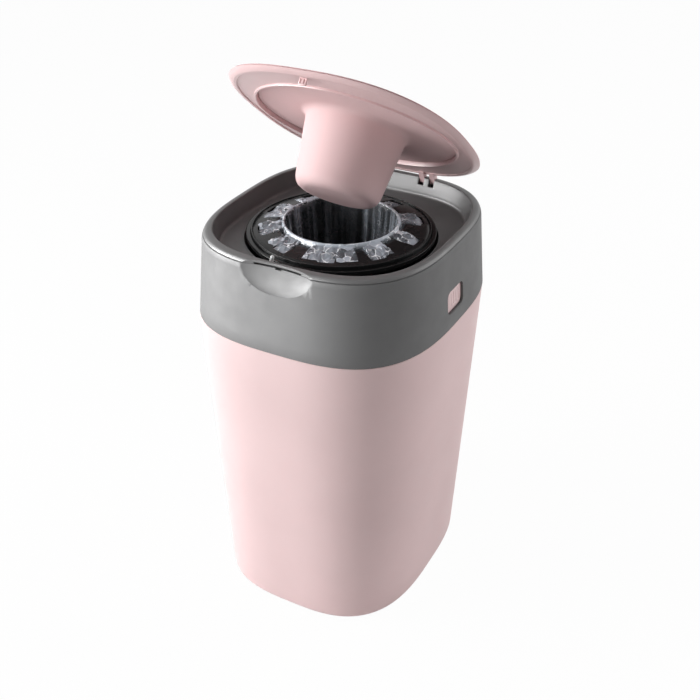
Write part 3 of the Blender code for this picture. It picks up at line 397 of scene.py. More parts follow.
tub_pink = moulded("tub_pink_satin", PINK, 0.55, specular=0.25, soft=0.08)
tab_pink = moulded("tab_pink_satin", PINK, 0.42, specular=0.25, soft=0.08)
lid_pink = moulded("lid_pink_gloss", LID_PINK, 0.32, grain=0.08, specular=0.25, soft=0.08)
plunger_pink = moulded("plunger_pink_satin", LID_PINK, 0.60, grain=0.15, specular=0.05, soft=0.08)
shell_grey = moulded("shell_grey_satin", GREY, 0.64, specular=0.65)
liner_grey = moulded("liner_grey_satin", LINER_GREY, 0.46, specular=0.55)
carrier_black = moulded("carrier_black_gloss", BLACK, 0.20, grain=0.05, specular=0.22)
cassette_black = moulded("cassette_black_satin", shade(BLACK, 1.9), 0.27, grain=0.10, specular=0.22)
grip_grey = moulded("grip_grey_rubber", shade(GREY, 0.8), 0.62, grain=0.4)
peg_white = moulded("peg_white_gloss", (0.78, 0.78, 0.78), 0.28, grain=0.05, soft=0.1)
click_white = moulded("click_white_acetal", (0.74, 0.74, 0.72), 0.38, grain=0.1)


def drawn_steel():
    material, tree, shader = shader_of("pin_drawn_steel")
    streaks = noise(tree, 900.0, 3.0, 0.6, (0.04, 1.0, 1.0))
    feed(tree, shader, {
        "Metallic": 1.0,
        "Base Color": ramp(tree, streaks, (0.50, 0.50, 0.52), (0.66, 0.66, 0.68)),
        "Roughness": ramp(tree, streaks, 0.22, 0.42),
    })
    bump(tree, shader, [(streaks, 0.2, 0.02 * MM)])
    return material


# The side of the tube, seen from above, where the film is made clearer so that the black behind it shows as
# painted shade deep in the tube
PAINTED_SHADE_WAY = radians(120)


def round_the_tube(tree, turns, fall):
    """Noise that runs round the tube's axis and slowly down it, and how near a place is to the far side,
    whose film is made clearer as painted shade.
    """
    offset = vector_math(tree, "SUBTRACT", object_place(tree), (0.0, AXIS_Y, 0.0))
    unit = vector_math(tree, "NORMALIZE", vector_math(tree, "MULTIPLY", offset, (1.0, 1.0, 0.0)))
    wide = vector_math(tree, "MULTIPLY", unit, (turns, turns, turns))
    down = vector_math(tree, "MULTIPLY", offset, (0.0, 0.0, fall))
    place = vector_math(tree, "ADD", wide, down)
    clear = (cos(PAINTED_SHADE_WAY), sin(PAINTED_SHADE_WAY), 0.0)
    return noise(tree, 1.0, 4.0, source=place), vector_math(tree, "DOT_PRODUCT", unit, clear, "Value")


def crease_highlight_lines(tree, scale):
    """Painted highlight lines along the creases between flat panes, each pane with a value of its own."""
    reach = 14 * MM
    place = object_place(tree)
    bend = new_node(tree, "ShaderNodeTexNoise", {"Vector": place, "Scale": 60.0}).outputs["Color"]
    inputs = {0: bend, 1: (reach, reach, reach), 2: place}
    shift = new_node(tree, "ShaderNodeVectorMath", inputs, "MULTIPLY_ADD").outputs["Vector"]
    found = []
    for feature, socket in (("DISTANCE_TO_EDGE", "Distance"), ("F1", "Color")):
        cells = tree.nodes.new("ShaderNodeTexVoronoi")
        cells.feature = feature
        feed(tree, cells, {"Scale": scale, "Vector": shift})
        found.append(cells.outputs[socket])
    return ramp(tree, found[0], 1.0, 0.0, 0.02, 0.09), found[1]


def film_plastic():
    """Thin film: milky and crumpled where it lies on the cap, clear with long pleats down inside the tube."""
    material, tree, shader = shader_of("film_creased")
    crumple = noise(tree, 120.0, 4.0, 0.62)
    creases = noise(tree, 300.0, 5.0, 0.75)
    edges, panes = crease_highlight_lines(tree, 105.0)
    # Painted highlights along the creases, only where the crumple noise lets them through
    painted_highlights = combined(tree, "MULTIPLY", edges, ramp(tree, crumple, 0.12, 1.0, 0.44, 0.56))
    pleats, clear = round_the_tube(tree, 7.5, 5.0)
    lies = tree.nodes.new("ShaderNodeAttribute")
    lies.attribute_name = "lies"
    milky = combined(tree, "MAXIMUM", painted_highlights, ramp(tree, panes, 0.16, 0.90, 0.25, 0.80))
    milky = combined(tree, "MULTIPLY", milky, lies.outputs["Fac"])
    # Painted shade: on the far side the pleated film is made clearer, so that the black behind it darkens the
    # tube's deep inside
    folded, painted_shade_clearing = ramp(tree, pleats, 0.06, 0.62, 0.42, 0.66), ramp(tree, clear, 1.0, 0.30, 0.86, 0.90)
    feed(tree, shader, {
        "Alpha": combined(tree, "MAXIMUM", combined(tree, "MULTIPLY", folded, painted_shade_clearing), milky),
        # The painted crease highlights whiten the film's colour, and above they make it more opaque
        "Base Color": ramp(tree, painted_highlights, (0.50, 0.55, 0.62), (0.90, 0.93, 0.97), 0.1, 0.9),
        "Roughness": ramp(tree, creases, 0.12, 0.30),
    })
    folds = [(pleats, 0.5, 1.5 * MM), (panes, 0.5, MM), (crumple, 0.7, MM), (creases, 0.4, 0.3 * MM)]
    bump(tree, shader, folds)
    return material


pin_steel = drawn_steel()
film_clear = film_plastic()


# Tub, housing, liner and tabs


def body_half(z):
    """Half sizes of the outer surface: it widens up to the seam and narrows above it."""
    if z <= SEAM_Z:
        share = (z - BASE_EDGE) / (SEAM_Z - BASE_EDGE)
        low, high = BASE_HALF, SEAM_HALF
    else:
        share = (z - SEAM_Z) / (SHOULDER_Z - SEAM_Z)
        low, high = SEAM_HALF, SHOULDER_HALF
    return [start + (end - start) * share for start, end in zip(low, high)]


def body_ring(z, inset=0.0, level=None):
    half_x, half_y = body_half(z)
    return oval(half_x - inset, half_y - inset, z if level is None else level)


def rim_ring(z, inset=0.0, level=None):
    """A ring on the rounding between the shoulder and the flat top of the rim."""
    rise = (z - SHOULDER_Z) / (RIM_Z - SHOULDER_Z)
    tuck = RIM_INSET * (1 - sqrt(max(0.0, 1 - rise * rise)))
    half_x, half_y = SHOULDER_HALF
    return oval(half_x - tuck - inset, half_y - tuck - inset, z if level is None else level)


def arc(steps):
    """Shares from 0 to 1 of a quarter turn: (along, across)."""
    angles = [pi / 2 * step / steps for step in range(steps + 1)]
    return [(sin(angle), 1 - cos(angle)) for angle in angles]


WINDOW_Y = -10 * MM
WINDOW_Z = SEAM_Z + 29.9 * MM
WINDOW_HALF = (19.5 * MM, 13 * MM)
WINDOW_CORNER = 7 * MM
SPIGOT_IN = WALL + 0.5 * MM
SPIGOT_TOP = tub_high.z
EDGE = 0.5 * MM


def build_tub():
    foot, foot_in = 2.2 * MM, BASE_EDGE + 7 * MM
    inner = SPIGOT_IN + WALL
    wall, taper, fillet = 2.6 * MM, 14 * MM, 8 * MM
    beyond = 2 * CM
    rings = [
        oval(BASE_HALF[0] - foot_in - foot, BASE_HALF[1] - foot_in - foot, foot),
        oval(BASE_HALF[0] - foot_in, BASE_HALF[1] - foot_in, 0.0),
    ]
    for along, across in arc(10):
        tuck = BASE_EDGE * (1 - along)
        rings.append(oval(BASE_HALF[0] - tuck, BASE_HALF[1] - tuck, BASE_EDGE * across))
    rings += [body_ring(BASE_EDGE + (SEAM_Z - EDGE - BASE_EDGE) * step / 8) for step in range(1, 9)]
    rings += [body_ring(SEAM_Z, EDGE * across, SEAM_Z - EDGE + EDGE * along) for along, across in arc(4)[1:]]
    rings += [body_ring(z, inset) for z, inset in (
        (SEAM_Z, SPIGOT_IN), (SPIGOT_TOP - EDGE, SPIGOT_IN), (SPIGOT_TOP, SPIGOT_IN + EDGE),
        (SPIGOT_TOP, inner - EDGE), (SPIGOT_TOP - EDGE, inner), (SEAM_Z, inner), (SEAM_Z - taper, wall),
    )]
    floor_z = foot + wall
    for along, across in arc(6):
        z = floor_z + fillet * (1 - along)
        rings.append(body_ring(z, wall + fillet * across))
    tub = loft("tub_moulding", rings)
    reach = tab_high.y - WINDOW_Y + MM
    for side in (-1, 1):
        ends = span(side, SEAM_HALF[0] - inner - beyond, SEAM_HALF[0] + beyond)
        low = (ends[0], WINDOW_Y - reach, tab_low.z - FIT)
        cut(tub, box("slot_cut", low, (ends[1], WINDOW_Y + reach, SPIGOT_TOP + CM)))
    finished(tub, tub_pink, "tub", ["tub"])


SCOOP = Vector((0.0, -SHOULDER_HALF[1] - 7.2 * MM, RIM_Z + MM))
SCOOP_HALF = Vector((52.7 * MM, 15.3 * MM, 32 * MM))
SCOOP_WALL = 1.5 * MM
EAR_NEAR = 27 * MM
EAR_WIDTH = 6 * MM
EAR_SPACE = 7 * MM
EAR_FAR = EAR_NEAR + EAR_WIDTH + EAR_SPACE
EAR_GAP = 0.5 * MM
KNUCKLE = 3.3 * MM
PIN_RADIUS = 1.4 * MM
LIP_INNER = (SHOULDER_HALF[0] - RIM_INSET - 3.9 * MM, SHOULDER_HALF[1] - RIM_INSET - 6.5 * MM)
WELL_FOOT = (LIP_INNER[0] - 3.5 * MM, LIP_INNER[1] - 4.5 * MM)


def scoop_form(name, grow):
    shape = bmesh.new()
    bmesh.ops.create_uvsphere(shape, u_segments=128, v_segments=64, radius=1.0)
    bmesh.ops.scale(shape, vec=SCOOP_HALF + Vector((grow, grow, grow)), verts=shape.verts)
    bmesh.ops.translate(shape, vec=SCOOP, verts=shape.verts)
    return object_from(name, shape)


def ear_places():
    return (-EAR_FAR - EAR_WIDTH, -EAR_NEAR - EAR_WIDTH, EAR_NEAR, EAR_FAR)


def cut_notches(item):
    front, room, beyond = 16 * MM, 0.9 * MM, 2 * CM
    for low_x in ear_places():
        low = (low_x - EAR_GAP, HINGE.y - front, HINGE.z - KNUCKLE - room)
        high = (low_x + EAR_WIDTH + EAR_GAP, SHOULDER_HALF[1] + beyond, RIM_Z + beyond)
        cut(item, box("notch_cut", low, high))


def cut_catch_hole(item):
    half, depth, height = 3.5 * MM, 3.2 * MM, 2.6 * MM
    high_z = RIM_Z - depth
    low = (-half, SCOOP.y, high_z - height)
    cut(item, box("catch_cut", low, (half, -LIP_INNER[1] - WALL, high_z)))


def build_housing():
    bottom = SEAM_Z + FIT
    outer = [body_ring(bottom, EDGE * (1 - along), bottom + EDGE * across) for along, across in arc(4)]
    outer += [body_ring(bottom + EDGE + (SHOULDER_Z - bottom - EDGE) * step / 6) for step in range(1, 7)]
    top = GROOVE_Z - EDGE
    outer += [rim_ring(SHOULDER_Z + (top - SHOULDER_Z) * step / 6) for step in range(1, 7)]
    outer.append(rim_ring(GROOVE_Z, EDGE))
    inner = [rim_ring(GROOVE_Z, WALL), body_ring(SHOULDER_Z, WALL), body_ring(bottom, WALL)]
    housing = loft("housing_moulding", outer + inner, closed=True)
    backing = scoop_form("scoop_backing", SCOOP_WALL)
    cut(backing, loft("housing_form", outer), "INTERSECT")
    cut(housing, backing, "UNION")
    cut(housing, scoop_form("scoop", 0.0))
    window = rounded_outline(*WINDOW_HALF, WINDOW_CORNER, (WINDOW_Y, WINDOW_Z))
    reach = SEAM_HALF[0] + CM
    cut(housing, prism_x("window_cut", window, -reach, reach))
    cut_notches(housing)
    cut_catch_hole(housing)
    soften(housing, 0.35 * MM)
    finished(housing, shell_grey, "top_unit", ["housing_shell"])


COLLAR = carrier_high.x + 2 * MM
COLLAR_LIP = 1.2 * MM
SEAT_Z = carrier_low.z - FIT


def build_liner():
    lip_low = GROOVE_Z + FIT
    lip_under = RIM_Z - WALL
    edge, fillet = 1.6 * MM, 3.8 * MM
    skirt, skirt_in = WALL + FIT, WALL + FIT + 1.5 * MM
    skirt_low = lip_low - 6 * MM
    seat_in = COLLAR - 31.5 * MM
    block_depth = 6.5 * MM

    def ring(half, grow, z):
        return oval(half[0] + grow, half[1] + grow, z)

    rings = [rim_ring(lip_low, EDGE, lip_low)]
    rings += [rim_ring(lip_low + EDGE + (RIM_Z - lip_low - EDGE) * step / 6) for step in range(7)]
    rings += [ring(LIP_INNER, edge * (1 - along), RIM_Z - edge * across) for along, across in arc(6)]
    steps = 8
    start, end = RIM_Z - edge, DECK_Z + fillet
    for step in range(1, steps):
        share = step / steps
        half = [a + (b - a) * share for a, b in zip(LIP_INNER, WELL_FOOT)]
        rings.append(ring(half, 0.0, start + (end - start) * share))
    rings += [ring(WELL_FOOT, -fillet * across, DECK_Z + fillet * (1 - along)) for along, across in arc(8)]
    lip, lip_side = COLLAR_LIP, DECK_Z + COLLAR_LIP * 0.8
    rings += well_rings(
        (COLLAR + lip, DECK_Z), (COLLAR + lip * 0.6, lip_side), (COLLAR + lip * 0.2, DECK_Z + lip),
        (COLLAR, lip_side), (COLLAR, SEAT_Z), (seat_in, SEAT_Z), (seat_in, SEAT_Z - WALL),
        (COLLAR + WALL, SEAT_Z - WALL), (COLLAR + WALL, DECK_Z - WALL),
    )
    rings += [
        ring(WELL_FOOT, -fillet / 2, DECK_Z - WALL),
        ring(WELL_FOOT, WALL, DECK_Z + fillet),
        ring(LIP_INNER, WALL, lip_under),
    ]
    rings += [rim_ring(GROOVE_Z, inset, z) for inset, z in (
        (skirt_in, lip_under), (skirt_in, skirt_low), (skirt, skirt_low), (skirt, lip_low),
    )]
    liner = loft("liner_moulding", rings, closed=True)
    cut_notches(liner)
    for side in (-1, 1):
        ends = span(side, EAR_NEAR + EAR_WIDTH + EAR_GAP, EAR_FAR - EAR_GAP)
        low = (ends[0], LIP_INNER[1] + WALL / 2, HINGE.z - block_depth)
        high = (ends[1], SHOULDER_HALF[1] - RIM_INSET - FIT, RIM_Z - WALL / 2)
        cut(liner, box("pin_block", low, high), "UNION")
    cut(liner, rod_x("pin_bore", PIN_RADIUS + FIT, -EAR_FAR - EAR_WIDTH, EAR_FAR + EAR_WIDTH, HINGE))
    cut(liner, scoop_form("scoop", 0.0))
    room = scoop_form("scoop_room", SCOOP_WALL + FIT)
    reach = SHOULDER_HALF[0]
    cut(room, box("room_limit", (-reach, -SEAM_HALF[1], SEAM_Z), (reach, 0.0, lip_low)), "INTERSECT")
    cut(liner, room)
    soften(liner, 0.3 * MM)
    finished(liner, liner_grey, "top_unit", ["well_liner"])


def rod_x(name, radius, low_x, high_x, place, sides=48, edge=0.0):
    profile = [(0.0, low_x), (radius - edge, low_x), (radius, low_x + edge)]
    profile += [(radius, high_x - edge), (radius - edge, high_x), (0.0, high_x)]
    item = turned(name, profile, False, sides, 0.0)
    item.data.transform(Matrix.Translation(place) @ Matrix.Rotation(pi / 2, 4, "Y"))
    return item


def build_pins():
    for name, side in (("left", -1), ("right", 1)):
        ends = span(side, EAR_NEAR - FIT, EAR_FAR + EAR_WIDTH + FIT)
        pin = rod_x(f"hinge_pin_{name}_drawn", PIN_RADIUS, *ends, HINGE, edge=0.25 * MM)
        finished(pin, pin_steel, "top_unit", [f"hinge_pin_{name}"])


def build_tab(name, side):
    """A tongue in the spigot's slot, its raised pad behind the window, with grooves for the finger."""
    face = WALL + FIT
    leg = face + 1.4 * MM
    wall, gap = 1.8 * MM, 1.5 * MM
    grooves, pitch = 5, 6 * MM

    def skin(label, low_z, high_z, outer, inner):
        rings = [
            body_ring(low_z, outer), body_ring(high_z, outer),
            body_ring(high_z, inner), body_ring(low_z, inner),
        ]
        return loft(label, rings, closed=True)

    ends = span(side, 0.0, SEAM_HALF[0] + CM)
    tab = skin(name + "_moulding", tab_low.z, tab_high.z, leg, leg + wall)
    low = (ends[0], tab_low.y, tab_low.z - CM)
    cut(tab, box("tab_limit", low, (ends[1], tab_high.y, tab_high.z + CM)), "INTERSECT")
    half = (WINDOW_HALF[0] - gap, WINDOW_HALF[1] - gap)
    pad = skin(name + "_pad", WINDOW_Z - half[1] - FIT, WINDOW_Z + half[1] + FIT, face, leg + wall / 2)
    outline = rounded_outline(*half, WINDOW_CORNER - gap, (WINDOW_Y, WINDOW_Z))
    cut(pad, prism_x("pad_limit", outline, *ends), "INTERSECT")
    x = side * (body_half(WINDOW_Z)[0] - face)
    reach = half[1] * 0.62
    lean = atan2(side * (SHOULDER_HALF[0] - SEAM_HALF[0]), SHOULDER_Z - SEAM_Z)
    turn = Matrix.Rotation(lean, 4, "Y") @ Matrix.Rotation(pi / 2, 4, "Y")
    for index in range(grooves):
        y = WINDOW_Y + (index - grooves // 2) * pitch
        groove = rod_x("groove", 0.5 * MM, -reach, reach, Vector())
        groove.data.transform(Matrix.Translation((x, y, WINDOW_Z)) @ turn)
        cut(pad, groove)
    cut(tab, pad, "UNION")
    soften(tab, 0.25 * MM)
    finished(tab, tab_pink, name, [name])


# Carrier, cassette, cap, grip ring and film, all about the well's axis, and the peg beside them

CARRIER_BORE = CASSETTE_OUT + 0.5 * MM
CASSETTE_WALL = 1.5 * MM
TUBE_OUT = CASSETTE_OUT - 34.1 * MM
TUBE_BORE = TUBE_OUT - CASSETTE_WALL
TUBE_TOP = cassette_high.z
CASSETTE_TOP = TUBE_TOP - 6.5 * MM
CASSETTE_LOW = cassette_low.z
CAP_OUT = CASSETTE_OUT - CASSETTE_WALL - FIT
CAP_ROOT = CASSETTE_OUT - CASSETTE_WALL - 6.1 * MM
CAP_TIP = TUBE_OUT + 5.2 * MM
CAP_Z = CASSETTE_TOP - 0.9 * MM
CAP_RISE = 4.4 * MM
CAP_CROWN = 0.5 * MM
CAP_THICK = 1.2 * MM
PETALS = 10


def build_carrier():
    wall, floor = 2 * MM, 1.8 * MM
    flange_low = DECK_Z + 2.7 * MM
    low, high = CASSETTE_LOW - FIT - floor, CASSETTE_LOW - FIT
    inner, outer, top = CARRIER_BORE, carrier_high.x, carrier_high.z
    ledge = inner - 22.6 * MM
    points = [
        (inner, top), (outer, top), (outer, flange_low), (inner + wall, flange_low),
        (inner + wall, low), (ledge, low), (ledge, high), (inner, high),
    ]
    sizes = [0.5, 1.1, 0.6, 0.8, 1.5, 0.4, 0.4, 0]
    item = turned("carrier_moulding", rounded(points, sizes, 6))
    finished(item, carrier_black, "cassette", ["cassette_carrier"])


def build_cassette():
    low, floor, inner = CASSETTE_LOW, CASSETTE_LOW + CASSETTE_WALL, CASSETTE_OUT - CASSETTE_WALL
    points = [
        (CASSETTE_OUT, CASSETTE_TOP), (CASSETTE_OUT, low), (TUBE_BORE, low), (TUBE_BORE, TUBE_TOP),
        (TUBE_OUT, TUBE_TOP), (TUBE_OUT, floor), (inner, floor), (inner, CASSETTE_TOP),
    ]
    sizes = [0.6, 1.2, 0.5, 0.5, 0.5, 0.6, 0.6, 0.4]
    item = turned("cassette_moulding", rounded(points, sizes, 5))
    finished(item, cassette_black, "cassette", ["cassette_body"])


def lobe(angle, count, fill, blend):
    """1 on a petal or finger, 0 in the gap beside it, with a smooth step between."""
    from_middle = abs((angle * count / (2 * pi)) % 1 - 0.5) * 2
    return eased((fill + blend / 2 - from_middle) / blend)


def petal_ring(name, sizes, count, shares, per_lobe=32, crown=0.0):
    """A sloping ring, its inner edge cut into petals or fingers; shares are the lobes' fill and blend."""
    outer, root, tip, outer_z, tip_z, thickness = sizes
    slope = (tip_z - outer_z) / (outer - tip)
    spans = 6
    angles = turn_angles(count * per_lobe)
    edges = [root + (tip - root) * lobe(angle, count, *shares) for angle in angles]

    def ring(share, drop, inset=0.0):
        result = []
        for angle, edge in zip(angles, edges):
            radius = outer - inset + (edge + inset - outer + inset) * share
            bulge = crown * sin(pi * min(1.0, (outer - radius) / (outer - tip)))
            result.append(well_point(radius, angle, outer_z + (outer - radius) * slope + bulge - drop))
        return result

    half, tuck = thickness / 2, thickness * 0.35
    rings = [ring(step / spans, 0.0, tuck) for step in range(spans + 1)]
    rings += [ring(1.0, tuck / 2, tuck / 3), ring(1.0, half), ring(1.0, thickness - tuck / 2, tuck / 3)]
    rings += [ring(1 - step / spans, thickness, tuck) for step in range(spans + 1)]
    rings += [ring(0.0, half)]
    return loft(name, rings, closed=True, sharp=50)


def build_cap():
    sizes = (CAP_OUT, CAP_ROOT, CAP_TIP, CAP_Z, CAP_Z + CAP_RISE, CAP_THICK)
    item = petal_ring("cap_moulding", sizes, PETALS, (0.62, 0.16), crown=CAP_CROWN)
    finished(item, cassette_black, "cassette", ["cassette_cap"])


def build_grip_ring():
    outer, thickness = grip_high.x, 1.6 * MM
    root, tip = outer - 28 * MM, 37.4 * MM
    sizes = (outer, root, tip, grip_high.z, grip_low.z + thickness, thickness)
    item = petal_ring("grip_fingers", sizes, 12, (0.60, 0.20), per_lobe=24)
    finished(item, grip_grey, "top_unit", ["grip_ring"])


def set_lies(item, values):
    """How far the film lies on something at each point; its material reads this, and over 1 it is whiter."""
    layer = item.data.attributes.new("lies", "FLOAT", "POINT")
    layer.data.foreach_set("value", values)


def build_film_pack():
    """The unused film, pushed down into the trough in uneven gathers."""
    draw = random.Random(11)
    count, per_gather = 64, 5
    heights = [draw.uniform(-1.0, 1.0) for _ in range(count)]
    room, shoulder = 1.2 * MM, 3 * MM
    near, far = TUBE_OUT + room, CASSETTE_OUT - CASSETTE_WALL - room
    low = CASSETTE_LOW + CASSETTE_WALL + 0.5 * MM
    top = CASSETTE_TOP - 5.5 * MM

    def ring(radius, z, ripple, lag=0.0):
        result = []
        for step, angle in enumerate(turn_angles(count * per_gather)):
            place = (step / per_gather + lag) % count
            here, after = heights[int(place)], heights[(int(place) + 1) % count]
            share = 0.5 - 0.5 * cos(pi * (place % 1))
            result.append(well_point(radius, angle, z + ripple * (here + (after - here) * share)))
        return result

    middle, spread = (near + far) / 2, (far - near) / 2
    rings = [ring(far, low, 0.0), ring(far, top - shoulder, 0.0)]
    # The place across in shares of the spread, and the drop and the ripple in millimetres
    crown = [(0.9, 1.6, 0.4), (0.5, 0.3, 0.8), (0.0, 0.0, 1.0), (-0.5, 0.3, 0.8), (-0.9, 1.6, 0.4)]
    for share, drop, ripple in crown:
        rings.append(ring(middle + spread * share, top - drop * MM, ripple * MM, lag=share * 1.6))
    rings += [ring(near, top - shoulder, 0.0), ring(near, low, 0.0)]
    item = loft("film_gathers", rings, closed=True, sharp=180)
    set_lies(item, [0.8] * len(item.data.vertices))
    finished(item, film_clear, "cassette", ["film_pack"])


def petal_top(radius):
    along = clamp((CAP_OUT - radius) / (CAP_OUT - CAP_TIP))
    return CAP_Z + CAP_RISE * along + CAP_CROWN * sin(pi * along)


def crumpled(x, y, size):
    """Sharp creases between flat facets, from 0 in a crease to about 1 between them."""
    seed, fall, ratio, octaves = 3.7, 0.9, 2.1, 3
    place = Vector((x / size, y / size, seed))
    return min(1.0, 1.6 * abs(crumple_noise.fractal(place, fall, ratio, octaves)))


# How far the film lies over the petals left and right of each gap, in shares of their pitch, and
# how much of their length it covers.
FILM_COVER = [
    (0.25, 0.22, 0.70), (0.30, 0.34, 0.85), (0.24, 0.20, 0.60), (0.26, 0.30, 0.60), (0.40, 0.42, 0.80),
    (0.30, 0.46, 0.95), (0.36, 0.30, 1.00), (0.52, 0.20, 0.95), (0.48, 0.62, 1.00), (0.20, 0.42, 0.95),
]


def build_film():
    """One tube of film: crumpled out over the cap, then over the tube's rim and down to its knot."""
    draw = random.Random(41)
    angles = turn_angles(720)
    room = 0.5 * MM

    def drawn_waves(terms, fewest, most):
        """Terms of (waves in a turn, lag, weight)."""
        lag, weight = (0, 6.28), (0.3, 1.0)
        return [(draw.randint(fewest, most), draw.uniform(*lag), draw.uniform(*weight)) for _ in range(terms)]

    waves, edge_waves = drawn_waves(9, 11, 47), drawn_waves(7, 17, 71)

    def mix(angle, terms):
        total = sum(weight for _, _, weight in terms)
        return sum(weight * sin(count * angle + lag) for count, lag, weight in terms) / total

    def cover(angle):
        """1 where the film lies on the cap and 0 where it dives, its reach, and 1 in a gap between petals."""
        place = angle * PETALS / (2 * pi)
        wander = 0.07 * mix(angle, edge_waves)
        gap_half, gap_blend, blend = 0.17, 0.05, 0.04
        found = (0.0, 0.6, 0.0)
        for gap in range(round(place) - 1, round(place) + 2):
            left, right, reach = FILM_COVER[gap % PETALS]
            offset = place - gap + wander
            share = eased(((right if offset > 0 else left) - abs(offset)) / blend)
            in_gap = clamp((gap_half - abs(offset)) / gap_blend)
            found = max(found, (share, reach + (1 - reach) * in_gap, in_gap))
        return found

    def under_petal(radius):
        slope = CAP_RISE / (CAP_OUT - CAP_TIP)
        return CAP_Z + (CAP_OUT - radius) * slope - CAP_THICK - room

    def skirt(share):
        """From the rim's outside at share 0 out to the film's torn edge at share 1."""
        result = []
        start, rim = TUBE_OUT + 1.6 * MM, TUBE_TOP - 1.0 * MM
        relief, sag, facet = 2.2 * MM, 2.6 * MM, 9 * MM
        at_rim, climb = 0.02, 0.22
        puff = sin(pi * min(1.0, share * 1.15)) ** 0.5
        for angle in angles:
            on_top, spread, in_gap = cover(angle)
            reach = start + (CAP_ROOT - start) * spread + (1.6 * mix(angle, edge_waves) - 0.8) * MM
            radius = start + (reach - start) * share
            facets = crumpled(radius * cos(angle), radius * sin(angle), facet)
            low = min(under_petal(radius), TUBE_TOP - 5.5 * MM)
            drape = petal_top(radius) + 0.4 * MM + relief * facets * puff - sag * in_gap * share
            high = rim + (drape - rim) * min(1.0, share / climb)
            height = low + (high - low) * on_top if share > at_rim else rim - 1.2 * MM
            lies = on_top if share > at_rim else 1.0
            result.append((well_point(radius, angle, height), lies))
        return result

    def pleated(radius, z, depth, lag=0.0, lies=0.0):
        result = []
        for angle in angles:
            fold = 0.5 + 0.6 * mix(angle + lag, waves) + 0.25 * sin(23 * angle + lag * 9)
            result.append((well_point(radius - depth * clamp(fold), angle, z), lies))
        return result

    grip_z = grip_low.z - 2 * MM
    spans = 20
    rings = [skirt(1 - step / spans) for step in range(spans + 1)]
    fold, rim_z = TUBE_OUT + 1.2 * MM, TUBE_TOP + 0.6 * MM
    rings += [
        pleated(fold, TUBE_TOP - 0.6 * MM, 0.3 * MM, lies=2.0),
        pleated(fold - 0.5 * MM, rim_z + 0.2 * MM, 0.3 * MM, lies=4.0),
        pleated(TUBE_OUT - 0.2 * MM, rim_z + 0.5 * MM, 0.1 * MM, lies=4.0),
        pleated(TUBE_BORE + 0.1 * MM, rim_z + 0.3 * MM, 0.2 * MM, lies=2.0),
        pleated(TUBE_BORE - 0.5 * MM, TUBE_TOP - 0.6 * MM, 0.4 * MM, lies=0.4),
    ]
    # In millimetres: in from the bore, down from the tube's top, the pleats' depth
    in_tube = [(0.7, 6, 1.8), (1.0, 18, 3.0), (1.8, 36, 3.8), (4.0, 56, 4.6), (9.0, 76, 6.5)]
    # In millimetres: the radius, down from the grip ring, the pleats' depth; the narrow ones are knots
    in_tub = [(33, 0, 10), (20, 20, 9), (9, 33, 4.5), (15, 47, 6), (7, 59, 3.5)]
    stations = [(TUBE_BORE - near * MM, TUBE_TOP - down * MM, depth * MM) for near, down, depth in in_tube]
    stations += [(radius * MM, grip_z - down * MM, depth * MM) for radius, down, depth in in_tub]
    stations.append((17 * MM, film_low.z, 8 * MM))
    for index, (radius, z, depth) in enumerate(stations):
        rings.append(pleated(radius, z, depth, lag=0.03 * index))
    points = [[point for point, _ in ring] for ring in rings]
    item = loft("film_tube", points, capped=False, sharp=180)
    set_lies(item, [lies for ring in rings for _, lies in ring])
    finished(item, film_clear, "cassette", ["film_sleeve"])


def build_peg():
    """The small leaning peg on the deck, with its round foot."""
    angle, lean = radians(256.5), radians(18)
    radius, foot_radius, foot_high = 2.1 * MM, 3 * MM, 1.6 * MM
    foot = DECK_Z + FIT
    out = Vector((cos(angle), sin(angle), 0.0))
    orbit = COLLAR + COLLAR_LIP + FIT + foot_radius
    spot = Vector((0.0, AXIS_Y, foot)) + out * orbit
    height, sides = 16.7 * MM, 48
    length = height / cos(lean)
    profile = [(radius * along, length - radius * across) for along, across in arc(8)]
    profile += [(radius, -foot_high), (0.0, -foot_high)]
    post = turned("peg_post", profile, False, sides, 0.0)
    post.data.transform(Matrix.Translation(spot) @ Matrix.Rotation(-lean, 4, out))
    reach = Vector((2 * CM, 2 * CM, 0.0))
    low = spot - reach + Vector((0, 0, foot_high / 4))
    cut(post, box("peg_limit", low, spot + reach + Vector((0, 0, length))), "INTERSECT")
    points = [(0.0, foot_high), (foot_radius, foot_high), (foot_radius, 0.0), (0.0, 0.0)]
    base = turned("peg_foot", rounded(points, [0, 0.8, 0, 0], 5), False, sides, 0.0)
    base.data.transform(Matrix.Translation(spot))
    cut(base, post, "UNION")
    soften(base, 0.25 * MM)
    base.name = "peg_moulding"
    finished(base, peg_white, "top_unit", ["click_peg"])


# Lid, dial and plunger: shaped as when the lid is shut, then turned open about the hinge

OPENED = Matrix.Translation(HINGE) @ Matrix.Rotation(-LID_OPEN, 4, "X") @ Matrix.Translation(-HINGE)
LID_LOW = RIM_Z + FIT
LID_HALF_X = SHOULDER_HALF[0] - RIM_INSET - 0.6 * MM
LID_REAR = HINGE.y + 0.8 * MM
LID_HALF_Y = (LID_REAR + SHOULDER_HALF[1] + 6.4 * MM) / 2
LID_POWER = 2.53
LID_EDGE = 6.1 * MM
LID_EDGE_Z = LID_LOW + 3.9 * MM
EDGE_BEND = (0.42, 0.32)
LID_JOINT_Z = LID_EDGE_Z + 0.4 * MM
LID_WALL = 2 * MM
LID_BITE = 1.7 * MM
CATCH_FRONT = SCOOP.y + SCOOP_HALF.y - 4.1 * MM
SHELL_EDGE_Z = LID_JOINT_Z + 1.4 * MM
SHELL_SHOULDER_Z = SHELL_EDGE_Z + MM
SHELL_CROWN_Z = SHELL_SHOULDER_Z + 7 * MM
RIB = LID_HALF_X - 18.3 * MM
LEDGE = RIB - 14 * MM
DIAL_HOLE = RIB - 3.5 * MM
PLATE_LOW = LID_LOW + 3.2 * MM
